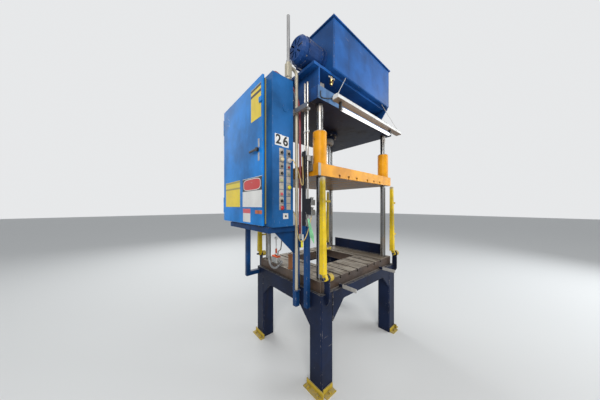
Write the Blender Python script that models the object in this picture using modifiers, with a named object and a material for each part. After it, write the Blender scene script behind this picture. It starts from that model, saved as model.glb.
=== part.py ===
"""Four-column hydraulic press with an overhead ram, a T-slotted bed and platen,
safety props, a power unit on the crown and a control cabinet on the left.

Lengths are in metres. x runs right and y runs back from the front left corner
of the base, and z runs up from the floor.
"""
import math

import bmesh
import bpy
from mathutils import Matrix, Vector

# Clearances
seat_gap = 0.0003
slide_gap = 0.0006
turn_gap = 0.0005

# Base weldment
base_width = 1.40
base_depth = 1.11
base_height = 0.84
leg_width = 0.15
leg_corner_radius = 0.010
apron_plate = 0.016
apron_flange_width = 0.12
apron_flange_thickness = 0.014
apron_recess = 0.002
apron_top_drop = 0.0006
side_apron_height = 0.155
front_apron_height = 0.105
side_haunch = 0.145
front_haunch = 0.160
foot_angle_leg = 0.050
foot_angle_thickness = 0.008
foot_angle_length = 0.20
foot_bolt_radius = 0.011
foot_bolt_height = 0.012
arm_reach = 0.145
arm_width = 0.018
arm_height = 0.026
arm_from_left = 0.29
arm_from_right = 0.33

# Bed plate
bed_side_margin = 0.030
bed_front_margin = 0.040
bed_rear_margin = 0.040
bed_thickness = 0.0997
bed_opening_width = 0.66
bed_opening_depth = 0.50
bed_opening_from_front = 0.37

# T-slots in the bed and the platen
slot_first_offset = 0.105
slot_pitch = 0.145
slots_each_side = 3
slot_neck_width = 0.018
slot_neck_depth = 0.018
slot_head_width = 0.032
slot_head_depth = 0.016

# Columns
column_diameter = 0.0635
column_inset_x = 0.095
column_inset_y = 0.110
column_spigot_diameter = 0.052
column_nut_corners = 0.105
column_nut_height = 0.050
column_thread_stand_out = 0.022

# Platen and its guide sleeves
platen_bottom = 1.865
platen_thickness = 0.110
platen_side_margin = 0.0125
platen_front_margin = 0.045
platen_rear_margin = 0.045
sleeve_diameter = 0.127
sleeve_height = 0.295
sleeve_chamfer = 0.004
travel_down = 0.45
travel_up = 0.15

# Crown
crown_bottom = 2.525
crown_thickness = 0.115
crown_front_margin = 0.040
crown_rear_margin = 0.040

# Ram and main cylinder
ram_diameter = 0.100
ram_flange_diameter = 0.190
ram_flange_thickness = 0.030
piston_length = 0.060
cylinder_bore = 0.127
cylinder_wall = 0.029
cylinder_head = 0.030
cylinder_flange_diameter = 0.270
cylinder_flange_thickness = 0.040
cylinder_nose = 0.040
gland_height = 0.065
gland_diameter = 0.170
piston_end_room = 0.015

# Power unit on the crown
deck_thickness = 0.025
deck_height_above_crown = 0.167
deck_left = -0.038
deck_right = 1.236
deck_front = 0.050
bracket_plate = 0.016
bracket_left_x = 0.020
bracket_right_x = 1.205
bracket_nose = 0.004
bracket_foot_front = 0.128
bracket_foot_width = 0.027
bracket_foot_height = 0.012
tank_left = 0.160
tank_width = 1.080
tank_front = 0.0
tank_to_cylinder = 0.0225
tank_height = 0.458
tank_edge_radius = 0.008
lid_thickness = 0.010
lid_overhang = 0.012
filler_diameter = 0.085
filler_height = 0.065
motor_diameter = 0.240
motor_center_y = 0.200
motor_center_above_deck = 0.148
motor_length = 0.205
motor_flange_diameter = 0.250
motor_flange_thickness = 0.022
motor_foot_width = 0.200
motor_foot_length = 0.140
terminal_box_size = 0.100
terminal_box_height = 0.060
fan_cover_length = 0.060
fan_cover_wall = 0.003
fan_cover_inset = 0.004
fan_spigot_length = 0.012
fan_slot_count = 8
manifold_left_of_centre = 0.400
manifold_behind_centre = 0.005
manifold_width = 0.180
manifold_depth = 0.140
manifold_height = 0.120
solenoid_diameter = 0.050
solenoid_length = 0.065
pipe_radius = 0.011
pipe_bend = 0.060
pipe_top_below_cylinder_top = 0.100

# Drain valve under the deck
drain_x = 0.210
drain_y = 0.070
drain_pipe_radius = 0.0125
drain_body_radius = 0.019
drain_body_length = 0.045
drain_drop = 0.080
drain_lever_length = 0.075

# Control cabinet
cabinet_left = -0.324
cabinet_right = -0.105
cabinet_front = 0.245
cabinet_rear = 1.260
cabinet_bottom = 1.420
cabinet_top = 2.720
cabinet_wall = 0.004
collar_inset = 0.016
collar_wall = 0.004
door_standoff = 0.0313
door_depth = 0.020
door_front = 0.320
door_rear = 1.235
door_edge_margin = 0.010
door_skin = 0.004
hinge_radius = 0.006
hinge_setback = 0.0075
hinge_knuckle_length = 0.060
hinge_height_inset = 0.180
handle_y = 0.385
handle_z = 2.085
handle_length = 0.155
handle_hub_radius = 0.018
handle_hub_height = 0.022
handle_thickness = 0.014
latch_block_size = 0.045
latch_block_drop = 0.210
panel_gap = 0.016
panel_thickness = 0.003
panel_margin = 0.080
panel_stud_radius = 0.008
panel_stud_inset = 0.030
switchgear_height = 0.110
switchgear_depths = (0.060, 0.090, 0.070)
plug_from_right = 0.087
plug_below_top = 0.273
plug_radius = 0.030
plug_height = 0.003
side_entry_height = 0.130
side_entry_setback = 0.020
top_entry_from_right = 0.165
top_entry_setback = 0.065
bottom_entry_from_right = 0.145
bottom_entry_setback = 0.175
bottom_entry_radius = 0.016

# Operators on the cabinet front
column_left_x = -0.235
column_right_x = -0.160
rows_above_bottom = 0.635
row_pitch = 0.0588
bezel_radius = 0.0165
bezel_height = 0.006
operator_bore_radius = 0.0110
operator_travel = 0.005
receptacle_radius = 0.020
receptacle_height = 0.024
receptacle_nose_radius = 0.010
receptacle_nose_height = 0.012
legend_width = 0.034
legend_height = 0.032
legend_thickness = 0.003
knob_radius = 0.0115
mushroom_radius = 0.0185

# Cabinet stand
stand_tube = 0.050
stand_left = -0.347
stand_front_y = 0.276
stand_rear_x = -0.170
stand_rear_y = 1.050
stand_foot_z = 0.660
stand_rear_foot_z = 0.760
stand_brace_drop = 0.220
stand_brace_reach = 0.220
stand_brace_plate = 0.008
hose_block_x = -0.0295
hose_block_front = 0.226
hose_block_width = 0.020
hose_block_below_cabinet = 0.125
hose_block_height = 0.075

# Trip gear at the platen's left end
trip_rod_radius = 0.0095
trip_rod_x = -0.030
trip_rod_front_y = 0.137
trip_rod_rear_y = 0.172
trip_rod_top = 2.690
trip_rod_foot = 1.420
trip_block_bottom = 1.995
trip_block_height = 0.050
trip_block_margin = 0.014
trip_plate_thickness = 0.012
trip_plate_drop = 0.085
switch_post_tube = 0.045
switch_post_bottom = 0.700
switch_post_cap = 0.010
cord_clip_depth = 0.014
cord_clip_width = 0.026
cord_clip_height = 0.032
cord_clip_below_top = 0.018
switch_rail_thickness = 0.006
switch_rail_top = 2.080
switch_rail_lap = 0.070
switch_body_width = 0.046
switch_body_depth = 0.050
switch_body_height = 0.068
switch_upper_z = 1.605
switch_lower_z = 1.520
strut_depth = 0.021
strut_height = 0.041
strut_wall = 0.0025
strut_front = 0.080
strut_rear = 0.300
strut_z = 2.435
strut_lip = 0.008

# Safety props
prop_width = 0.050
prop_lug_proud = 0.0005
prop_tip_width = 0.036
prop_platen_clearance = 0.012
prop_top_clearance = 0.015
prop_pivot_z = 0.985
prop_shoulder = 0.035
prop_from_side = 0.005
prop_right_from_side = 0.025
prop_pivot_offset = 0.018
prop_lug_width = 0.026
prop_pin_radius = 0.011
prop_ear_thickness = 0.012
prop_barrel_radius = 0.034
prop_barrel_length = 0.045
prop_ear_foot_drop = 0.090
peg_radius = 0.009
peg_length = 0.062
peg_knob_radius = 0.014
peg_collar_radius = 0.015
peg_collar_length = 0.010
peg_upper_z = 1.640
peg_lower_z = 1.230

# Work light
light_left = 0.090
light_length = 1.255
light_front = -0.105
light_depth = 0.060
light_bottom = 2.493
light_height = 0.047
light_shoulder = 0.030
light_slope = 0.010
lamp_radius = 0.0145
lamp_left = 0.165
lamp_length = 0.920
lamp_holder_length = 0.016
lamp_holder_width = 0.026
lamp_drop = 0.053
hanger_radius = 0.0025
hanger_spread = 0.230
hanger_inset = 0.030

# Side guard on the bed
guard_from_right = 0.056
guard_thickness = 0.012
guard_height = 0.140
guard_front_inset = 0.160
guard_rear_inset = 0.160

# Lever valve on the bed's left edge
valve_x = 0.036
valve_y = 0.720
valve_width = 0.055
valve_length = 0.110
valve_height = 0.085
valve_collar_radius = 0.020
valve_collar_height = 0.014
valve_port_height = 0.035
valve_port_reach = 0.022
valve_port_radius = 0.013
valve_fork_depth = 0.0135
lever_radius = 0.0055
lever_length = 0.190
lever_ball_radius = 0.020
lever_fork_radius = 0.012

# Conduits and hoses
conduit_radius = 0.0147
riser_x = -0.055
riser_y = 0.260
riser_bottom = 0.830
riser_bend = 0.045
riser_turn_z = 2.840
riser_shelf_thickness = 0.008
entry_body_x = -0.150
entry_body_width = 0.050
entry_body_height = 0.144
entry_hub_radius = 0.021
entry_hub_height = 0.016
entry_collar_height = 0.021
entry_collar_wall = 0.006
top_conduit_end = 3.290
hose_radius = 0.011
cord_radius = 0.004
flex_radius = 0.010
gland_radius = 0.012
gland_length = 0.018

# Positions that follow from the sizes above
base_mid_x = base_width / 2
base_mid_y = base_depth / 2
bed_bottom = base_height + seat_gap
bed_top = bed_bottom + bed_thickness
column_left = column_inset_x
column_right = base_width - column_inset_x
column_front = column_inset_y
column_rear = base_depth - column_inset_y
column_radius = column_diameter / 2
column_spigot_radius = column_spigot_diameter / 2
platen_top = platen_bottom + platen_thickness
platen_left = platen_side_margin
platen_right = base_width - platen_side_margin
platen_front = platen_front_margin
platen_rear = base_depth - platen_rear_margin
crown_top = crown_bottom + crown_thickness
cylinder_radius = cylinder_bore / 2 + cylinder_wall
flange_top = crown_bottom - seat_gap
flange_bottom = flange_top - cylinder_flange_thickness
nose_bottom = flange_bottom - cylinder_nose
gland_top = nose_bottom - seat_gap
bore_bottom = nose_bottom
piston_bottom = bore_bottom + piston_end_room + travel_down
piston_top = piston_bottom + piston_length
bore_top = piston_top + travel_up + piston_end_room
cylinder_top = bore_top + cylinder_head
deck_bottom = crown_top + deck_height_above_crown
deck_top = deck_bottom + deck_thickness
tank_rear = base_mid_y - cylinder_radius - tank_to_cylinder
tank_depth = tank_rear - tank_front
deck_rear = tank_rear
manifold_x = base_mid_x - manifold_left_of_centre
manifold_y = base_mid_y + manifold_behind_centre
tank_bottom = deck_top + seat_gap
tank_top = tank_bottom + tank_height
motor_z = deck_top + motor_center_above_deck
motor_right = tank_left - seat_gap
door_inner = cabinet_left - door_standoff
collar_left = door_inner + seat_gap
door_outer = door_inner - door_depth
door_bottom = cabinet_bottom + door_edge_margin
door_top = cabinet_top - door_edge_margin
hinge_x = door_outer + hinge_radius * 0.6
hinge_y = door_rear + hinge_setback
row_top_z = cabinet_bottom + rows_above_bottom
hose_block_top = cabinet_bottom - hose_block_below_cabinet
stand_top = cabinet_bottom - seat_gap
stand_right = -seat_gap
trip_block_left = trip_rod_x - trip_rod_radius - slide_gap - 0.006
switch_rail_right = trip_block_left - 0.0075
switch_rail_left = switch_rail_right - switch_rail_thickness
strut_left = cabinet_right + 0.0138
strut_right = strut_left + strut_depth
prop_tip_z = platen_bottom - prop_top_clearance
front_prop_back = platen_front - prop_platen_clearance
rear_prop_front = platen_rear + prop_platen_clearance

round_steps = 20
small_steps = 12
fine_steps = 8
hose_spacing = 0.050
cord_spacing = 0.024


def clear_scene():
    for item in list(bpy.data.objects):
        bpy.data.objects.remove(item, do_unlink=True)


def new_collection(name):
    collection = bpy.data.collections.new(name)
    bpy.context.scene.collection.children.link(collection)
    return collection


def paint(name, colour, roughness, metallic=0.0):
    """A Principled material, made once for each name."""
    material = bpy.data.materials.get(name)
    if material is None:
        material = bpy.data.materials.new(name)
        material.use_nodes = True
        shader = material.node_tree.nodes["Principled BSDF"]
        shader.inputs["Base Color"].default_value = (*colour, 1.0)
        shader.inputs["Roughness"].default_value = roughness
        shader.inputs["Metallic"].default_value = metallic
        material.diffuse_color = (*colour, 1.0)
    return material


def base_blue():
    return paint("base_blue", (0.012, 0.024, 0.075), 0.50)


def cabinet_blue():
    return paint("cabinet_blue", (0.020, 0.150, 0.480), 0.38)


def tank_blue():
    return paint("tank_blue", (0.015, 0.085, 0.330), 0.40)


def motor_blue():
    return paint("motor_blue", (0.012, 0.050, 0.190), 0.42)


def platen_orange():
    return paint("platen_orange", (0.950, 0.330, 0.015), 0.45)


def prop_yellow():
    return paint("prop_yellow", (0.820, 0.600, 0.050), 0.45)


def worn_steel():
    return paint("worn_steel", (0.210, 0.170, 0.120), 0.55, 0.6)


def chrome_steel():
    return paint("chrome_steel", (0.620, 0.620, 0.610), 0.18, 1.0)


def bare_steel():
    return paint("bare_steel", (0.450, 0.440, 0.420), 0.35, 1.0)


def black_plastic():
    return paint("black_plastic", (0.015, 0.015, 0.016), 0.40)


def white_enamel():
    return paint("white_enamel", (0.800, 0.800, 0.780), 0.35)


def ivory_conduit():
    return paint("ivory_conduit", (0.620, 0.580, 0.470), 0.50)


def brass():
    return paint("brass", (0.720, 0.520, 0.220), 0.35, 1.0)


def adopt(bm):
    """Turn a bmesh into an object in the working collection."""
    mesh = bpy.data.meshes.new("shape")
    bm.to_mesh(mesh)
    bm.free()
    item = bpy.data.objects.new("shape", mesh)
    parts.objects.link(item)
    return item


def bake(item):
    """Give an object the mesh that its modifiers or its curve make."""
    bpy.context.view_layer.update()
    depsgraph = bpy.context.evaluated_depsgraph_get()
    mesh = bpy.data.meshes.new_from_object(item.evaluated_get(depsgraph))
    if item.type == "CURVE":
        bm = bmesh.new()
        bm.from_mesh(mesh)
        bmesh.ops.remove_doubles(bm, verts=bm.verts, dist=0.00001)
        bmesh.ops.recalc_face_normals(bm, faces=bm.faces)
        bm.transform(item.matrix_world)
        bpy.data.meshes.remove(mesh)
        bpy.data.objects.remove(item, do_unlink=True)
        return adopt(bm)
    old = item.data
    item.modifiers.clear()
    item.data = mesh
    bpy.data.meshes.remove(old)
    return item


def block(x, y, z, radius=0.0, edges="all"):
    """A box between (low, high) pairs, with rounded edges if a radius is given."""
    low = Vector((x[0], y[0], z[0]))
    high = Vector((x[1], y[1], z[1]))
    bm = bmesh.new()
    scale = Matrix.Diagonal((*(high - low), 1.0))
    place = Matrix.Translation((low + high) / 2)
    bmesh.ops.create_cube(bm, size=1.0, matrix=place @ scale)
    if radius > 0.0:
        axis = {"x": 0, "y": 1, "z": 2}.get(edges)
        chosen = []
        for edge in bm.edges:
            along = edge.verts[0].co - edge.verts[1].co
            if axis is None or abs(along[axis]) > 0.5 * (high - low)[axis]:
                chosen.append(edge)
        bmesh.ops.bevel(bm, geom=chosen, offset=radius, segments=1, profile=0.5,
                        affect="EDGES", clamp_overlap=True)
    return adopt(bm)


def facing(axis):
    """The rotation that turns +Z to the named direction."""
    turns = {
        "+z": Matrix.Identity(4),
        "-z": Matrix.Rotation(math.pi, 4, "X"),
        "+x": Matrix.Rotation(math.pi / 2, 4, "Y"),
        "-x": Matrix.Rotation(-math.pi / 2, 4, "Y"),
        "+y": Matrix.Rotation(-math.pi / 2, 4, "X"),
        "-y": Matrix.Rotation(math.pi / 2, 4, "X"),
    }
    return turns[axis]


def rod(start, length, radius, axis, steps=round_steps, end_radius=None):
    """A cylinder or a cone from a point, along a named direction."""
    bm = bmesh.new()
    last = radius if end_radius is None else end_radius
    lift = Matrix.Translation((0.0, 0.0, length / 2))
    place = Matrix.Translation(start) @ facing(axis) @ lift
    bmesh.ops.create_cone(bm, cap_ends=True, segments=steps, radius1=radius,
                          radius2=last, depth=length, matrix=place)
    return adopt(bm)


def ball(centre, radius, steps=small_steps):
    bm = bmesh.new()
    bmesh.ops.create_uvsphere(bm, u_segments=steps, v_segments=steps // 2,
                              radius=radius, matrix=Matrix.Translation(centre))
    return adopt(bm)


def turned(profile, centre, axis, steps=round_steps, ring=False):
    """A turned solid. The profile gives (radius, height) down its outer side,
    and a ring's profile closes on itself instead of on the axis."""
    bm = bmesh.new()
    verts = [bm.verts.new((radius, 0.0, height)) for radius, height in profile]
    for first, second in zip(verts, verts[1:]):
        bm.edges.new((first, second))
    if ring:
        bm.edges.new((verts[-1], verts[0]))
    item = adopt(bm)
    screw = item.modifiers.new("turn", "SCREW")
    screw.angle = 2 * math.pi
    screw.axis = "Z"
    screw.steps = steps
    screw.render_steps = steps
    screw.use_merge_vertices = True
    screw.merge_threshold = 0.00001
    item = bake(item)
    item.data.transform(Matrix.Translation(centre) @ facing(axis))
    return item


def plate(outline, low, high, normal):
    """A flat outline, given as the two coordinates left when the normal's is
    dropped, with its faces at low and high along the normal."""
    curve = bpy.data.curves.new("outline", "CURVE")
    curve.dimensions = "2D"
    curve.fill_mode = "BOTH"
    curve.extrude = (high - low) / 2
    spline = curve.splines.new("POLY")
    spline.points.add(len(outline) - 1)
    middle = (low + high) / 2
    turn = {
        "z": Matrix.Identity(4),
        "y": Matrix.Rotation(math.pi / 2, 4, "X"),
        "x": Matrix.Rotation(math.pi / 2, 4, "Z") @ Matrix.Rotation(math.pi / 2, 4, "X"),
    }[normal]
    shift = {"z": (0, 0, middle), "y": (0, middle, 0), "x": (middle, 0, 0)}[normal]
    for point, (u, v) in zip(spline.points, outline):
        point.co = (u, v, 0.0, 1.0)
    spline.use_cyclic_u = True
    item = bpy.data.objects.new("outline", curve)
    parts.objects.link(item)
    item.matrix_world = Matrix.Translation(shift) @ turn
    return bake(item)


def tube(points, radius, resolution=2):
    """A round tube with filled ends along a list of points."""
    curve = bpy.data.curves.new("tube", "CURVE")
    curve.dimensions = "3D"
    curve.bevel_depth = radius
    curve.bevel_resolution = resolution
    curve.use_fill_caps = True
    spline = curve.splines.new("POLY")
    spline.points.add(len(points) - 1)
    for point, place in zip(spline.points, points):
        point.co = (*place, 1.0)
    item = bpy.data.objects.new("tube", curve)
    parts.objects.link(item)
    return bake(item)


def smooth_route(points, spacing):
    """Points at about the given spacing on a smooth curve through a route."""
    places = [Vector(point) for point in points]
    places.insert(0, 2 * places[0] - places[1])
    places.append(2 * places[-1] - places[-2])
    route = []
    for before, start, end, after in zip(places, places[1:], places[2:], places[3:]):
        count = max(1, round((end - start).length / spacing))
        for step in range(count):
            t = step / count
            linear = (end - before) * t
            square = (2 * before - 5 * start + 4 * end - after) * t ** 2
            cube = (3 * start - before - 3 * end + after) * t ** 3
            route.append(start + (linear + square + cube) / 2)
    route.append(places[-2])
    return route


def rounded_corner(before, corner, after, radius, steps=6):
    """Points along the arc that rounds one square corner of a pipe run."""
    corner = Vector(corner)
    inward = (Vector(before) - corner).normalized()
    outward = (Vector(after) - corner).normalized()
    centre = corner + (inward + outward) * radius
    points = []
    for step in range(steps + 1):
        angle = math.pi / 2 * step / steps
        points.append(centre - outward * radius * math.cos(angle) - inward * radius * math.sin(angle))
    return points


def pipe_run(corners, radius, bend, resolution=2):
    """A pipe along straight runs with square, rounded corners."""
    points = [Vector(corners[0])]
    for before, corner, after in zip(corners, corners[1:], corners[2:]):
        points.extend(rounded_corner(before, corner, after, bend))
    points.append(Vector(corners[-1]))
    return tube(points, radius, resolution)


def open_edges(bm):
    return sum(len(edge.link_faces) != 2 for edge in bm.edges)


def tidy(item):
    """Join the points that a boolean leaves on top of each other, unless that
    would open the shape."""
    bm = bmesh.new()
    bm.from_mesh(item.data)
    open_before = open_edges(bm)
    bmesh.ops.remove_doubles(bm, verts=bm.verts, dist=0.000005)
    bmesh.ops.dissolve_degenerate(bm, edges=bm.edges, dist=0.000005)
    if open_edges(bm) <= open_before:
        bm.to_mesh(item.data)
    bm.free()
    return item


def combine(base, others, operation):
    """Apply one boolean at a time, each from a shape that is then removed."""
    for other in others:
        modifier = base.modifiers.new("boolean", "BOOLEAN")
        modifier.operation = operation
        modifier.solver = "EXACT"
        modifier.object = other
        base = tidy(bake(base))
        bpy.data.objects.remove(other, do_unlink=True)
    return base


def fuse(base, *others):
    return combine(base, others, "UNION")


def cut(base, *others):
    return combine(base, others, "DIFFERENCE")


def carrier(name, place):
    """An empty on a joint's axis, which carries the pieces that move there."""
    empty = bpy.data.objects.new(name, None)
    empty.empty_display_size = 0.05
    parts.objects.link(empty)
    empty.parent = frame
    empty.location = place
    return empty


def finish(item, name, material, holder=None, smooth_angle=35.0):
    """Name a piece, paint it and set its origin on what carries it."""
    item.name = name
    item.data.name = name
    item.data.materials.clear()
    item.data.materials.append(material)
    item.data.shade_smooth()
    item.data.set_sharp_from_angle(angle=math.radians(smooth_angle))
    place = Vector((0.0, 0.0, 0.0)) if holder is None else holder.location.copy()
    item.data.transform(Matrix.Translation(-place))
    item.parent = frame if holder is None else holder
    item.location = (0.0, 0.0, 0.0)
    return item


def slot_centres():
    """The x of every T-slot, in mirrored rows from the middle of the bed."""
    offsets = [slot_first_offset + slot_pitch * row for row in range(slots_each_side)]
    return [base_mid_x + side * offset for side in (-1, 1) for offset in offsets]


def slot_cutter(x, y, face_z, into):
    """A T-slot along y, cut from a face into the plate (into is +1 or -1)."""
    over = 0.002
    neck_far = face_z + into * (slot_neck_depth + 0.001)
    neck_near = face_z - into * over
    head_near = face_z + into * slot_neck_depth
    head_far = face_z + into * (slot_neck_depth + slot_head_depth)
    neck = slot_neck_width / 2
    head = slot_head_width / 2
    y_range = (y[0] - over, y[1] + over)
    upright = block((x - neck, x + neck), y_range, sorted((neck_near, neck_far)))
    wide = block((x - head, x + head), y_range, sorted((head_near, head_far)))
    return [fuse(upright, wide)]


def column_places():
    return {
        "front_left": (column_left, column_front),
        "front_right": (column_right, column_front),
        "rear_left": (column_left, column_rear),
        "rear_right": (column_right, column_rear),
    }


def foot_angle(x_face, y_face, side, along):
    """An anchor angle with its bolt head, on an outer face of a leg."""
    half = foot_angle_length / 2
    thick = foot_angle_thickness
    lap = 0.001
    if along == "y":
        y_range = (y_face - half, y_face + half)
        outer = x_face + side * foot_angle_leg
        inner = x_face - side * lap
        upright_x = sorted((inner, x_face + side * thick))
        upright = block(upright_x, y_range, (0.0, foot_angle_leg))
        toe = block(sorted((inner, outer)), y_range, (0.0, thick))
        bolt_x = x_face + side * foot_angle_leg * 0.62
        bolts = [(bolt_x, y_face - half * 0.55), (bolt_x, y_face + half * 0.55)]
    else:
        x_range = (x_face - half * 0.6, x_face + half * 0.6)
        outer = y_face + side * foot_angle_leg
        inner = y_face - side * lap
        upright = block(x_range, sorted((inner, y_face + side * thick)), (0.0, foot_angle_leg))
        toe = block(x_range, sorted((inner, outer)), (0.0, thick))
        bolts = [(x_face, y_face + side * foot_angle_leg * 0.62)]
    shapes = [upright, toe]
    for x, y in bolts:
        head = rod((x, y, thick - lap), foot_bolt_height + lap, foot_bolt_radius, "+z", 6)
        shapes.append(head)
    return shapes


def prop_side(name):
    """Where a safety prop stands, and which way it tips."""
    right = name.endswith("right")
    if right:
        left_edge = base_width - prop_right_from_side - prop_width
    else:
        left_edge = prop_from_side
    front = name.startswith("front")
    if front:
        near = front_prop_back
        outward = -1
    else:
        near = rear_prop_front
        outward = 1
    middle_y = near + outward * prop_width / 2
    pivot_y = middle_y + outward * prop_pivot_offset
    return left_edge, middle_y, pivot_y, outward


def prop_ear(name):
    """The hinge ear, pin and round boss that carry one safety prop."""
    left_edge, middle_y, pivot_y, outward = prop_side(name)
    ear_left = left_edge + prop_width + seat_gap
    ear_right = ear_left + prop_ear_thickness
    leg_face = 0.0 if outward < 0 else base_depth
    inner = leg_face - outward * 0.020
    radius = prop_barrel_radius * 0.8
    outline = [(inner, base_height - 0.001), (inner, base_height + 0.030)]
    for step in range(9):
        angle = math.pi * step / 8
        outline.append((pivot_y - outward * radius * math.cos(angle),
                        prop_pivot_z + radius * math.sin(angle)))
    outline.append((pivot_y + outward * radius, base_height - prop_ear_foot_drop * 0.5))
    outline.append((leg_face + outward * 0.012, base_height - prop_ear_foot_drop))
    outline.append((leg_face - outward * 0.001, base_height - prop_ear_foot_drop))
    outline.append((leg_face - outward * 0.001, base_height - 0.001))
    ear = plate(outline, ear_left, ear_right, "x")
    boss = rod((ear_right - 0.001, pivot_y, prop_pivot_z), prop_barrel_length + 0.001,
               prop_barrel_radius, "+x")
    pin_start = left_edge - 0.004
    pin = rod((pin_start, pivot_y, prop_pivot_z), ear_left - pin_start + 0.002,
              prop_pin_radius, "+x", small_steps)
    return [ear, boss, pin]


def make_side_frame(name, outer_x, side):
    """Two legs, the apron with its haunches, foot angles and prop ears."""
    inner_x = outer_x - side * leg_width
    leg_x = sorted((outer_x, inner_x))
    rear_leg_front = base_depth - leg_width
    front_leg = block(leg_x, (0.0, leg_width), (0.0, base_height), leg_corner_radius, "z")
    rear_leg = block(leg_x, (rear_leg_front, base_depth), (0.0, base_height),
                     leg_corner_radius, "z")
    apron_bottom = base_height - side_apron_height
    lap = leg_corner_radius + 0.004
    top = base_height - apron_top_drop
    outline = [
        (leg_width - lap, top),
        (rear_leg_front + lap, top),
        (rear_leg_front + lap, apron_bottom - side_haunch - lap),
        (rear_leg_front - side_haunch, apron_bottom),
        (leg_width + side_haunch, apron_bottom),
        (leg_width - lap, apron_bottom - side_haunch - lap),
    ]
    skin_x = outer_x - side * apron_recess
    skin = sorted((skin_x, skin_x - side * apron_plate))
    apron = plate(outline, skin[0], skin[1], "x")
    flange_x = sorted((skin_x - side * apron_plate / 2, outer_x - side * apron_flange_width))
    flange = block(flange_x, (leg_width - lap - 0.001, rear_leg_front + lap + 0.001),
                   (top - apron_flange_thickness, top - 0.0005))
    shapes = [rear_leg, apron, flange]
    for y in (leg_width / 2, base_depth - leg_width / 2):
        shapes.extend(foot_angle(outer_x, y, side, "y"))
    shapes.extend(foot_angle(outer_x - side * leg_width / 2, 0.0, -1, "x"))
    word = "left" if side < 0 else "right"
    shapes.extend(prop_ear("front_" + word))
    shapes.extend(prop_ear("rear_" + word))
    item = fuse(front_leg, *shapes)
    return finish(item, name, base_blue())


def make_cross_apron(name, outer_y, side, with_arms):
    """The front or rear apron between the side frames."""
    left = leg_width + seat_gap
    right = base_width - leg_width - seat_gap
    bottom = base_height - front_apron_height
    top = base_height - apron_top_drop
    outline = [
        (left, top),
        (right, top),
        (right, bottom - front_haunch),
        (right - front_haunch, bottom),
        (left + front_haunch, bottom),
        (left, bottom - front_haunch),
    ]
    skin_y = outer_y - side * apron_recess
    skin = sorted((skin_y, skin_y - side * apron_plate))
    apron = plate(outline, skin[0], skin[1], "y")
    flange_y = sorted((skin_y - side * apron_plate / 2, outer_y - side * apron_flange_width))
    flange = block((left + 0.001, right - 0.001), flange_y,
                   (top - apron_flange_thickness, top - 0.0005))
    shapes = [flange]
    if with_arms:
        bed_front = bed_front_margin - seat_gap
        for x in (arm_from_left, base_width - arm_from_right):
            arm = block((x - arm_width / 2, x + arm_width / 2), (-arm_reach, bed_front),
                        (base_height - 0.006, base_height + arm_height), 0.003, "y")
            shapes.append(arm)
    return finish(fuse(apron, *shapes), name, base_blue())


def make_bed_plate():
    x = (bed_side_margin, base_width - bed_side_margin)
    y = (bed_front_margin, base_depth - bed_rear_margin)
    bed = block(x, y, (bed_bottom, bed_top), 0.0015)
    opening_x = (base_mid_x - bed_opening_width / 2, base_mid_x + bed_opening_width / 2)
    opening_y = (bed_opening_from_front, bed_opening_from_front + bed_opening_depth)
    cutters = [block(opening_x, opening_y, (bed_bottom - 0.01, bed_top + 0.01))]
    for centre in slot_centres():
        cutters.extend(slot_cutter(centre, y, bed_top, -1))
    for column_x, column_y in column_places().values():
        hole = rod((column_x, column_y, bed_bottom - 0.01), bed_thickness + 0.02,
                   column_spigot_radius + seat_gap, "+z")
        cutters.append(hole)
    return finish(cut(bed, *cutters), "bed_plate", worn_steel())


def make_columns():
    """Each column is shouldered between the bed and the crown, with its nut."""
    main_top = crown_bottom - seat_gap
    main_bottom = bed_top + seat_gap
    nut_bottom = crown_top + seat_gap
    thread_top = nut_bottom + column_nut_height + column_thread_stand_out
    for place, (x, y) in column_places().items():
        profile = [
            (0.0, thread_top),
            (column_spigot_radius, thread_top),
            (column_spigot_radius, main_top),
            (column_radius, main_top),
            (column_radius, main_bottom),
            (column_spigot_radius, main_bottom),
            (column_spigot_radius, bed_bottom + seat_gap),
            (0.0, bed_bottom + seat_gap),
        ]
        column = turned(profile, (x, y, 0.0), "+z")
        nut = rod((x, y, nut_bottom), column_nut_height, column_nut_corners / 2, "+z", 6)
        finish(fuse(column, nut), "column_" + place, chrome_steel())


def make_crown():
    y = (crown_front_margin, base_depth - crown_rear_margin)
    crown = block((0.0, base_width), y, (crown_bottom, crown_top), 0.002)
    cutters = []
    for column_x, column_y in column_places().values():
        hole = rod((column_x, column_y, crown_bottom - 0.01), crown_thickness + 0.02,
                   column_spigot_radius + seat_gap, "+z")
        cutters.append(hole)
    cutters.append(rod((base_mid_x, base_mid_y, crown_bottom - 0.01), crown_thickness + 0.02,
                       cylinder_radius + seat_gap, "+z"))
    return finish(cut(crown, *cutters), "crown", tank_blue())


def make_platen():
    """The platen with its T-slots and the four welded guide sleeves."""
    y = (platen_front, platen_rear)
    platen = block((platen_left, platen_right), y, (platen_bottom, platen_top), 0.0015)
    radius = sleeve_diameter / 2
    top = platen_top + sleeve_height
    profile = [
        (0.0, top),
        (radius - sleeve_chamfer, top),
        (radius, top - sleeve_chamfer),
        (radius, platen_top - 0.005),
        (0.0, platen_top - 0.005),
    ]
    sleeves = [turned(profile, (x, y, 0.0), "+z") for x, y in column_places().values()]
    platen = fuse(platen, *sleeves)
    cutters = []
    for centre in slot_centres():
        cutters.extend(slot_cutter(centre, y, platen_bottom, 1))
    for x, column_y in column_places().values():
        cutters.append(rod((x, column_y, platen_bottom - 0.01), top - platen_bottom + 0.02,
                           column_radius + slide_gap, "+z"))
    return finish(cut(platen, *cutters), "platen", platen_orange(), platen_carrier)


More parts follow.
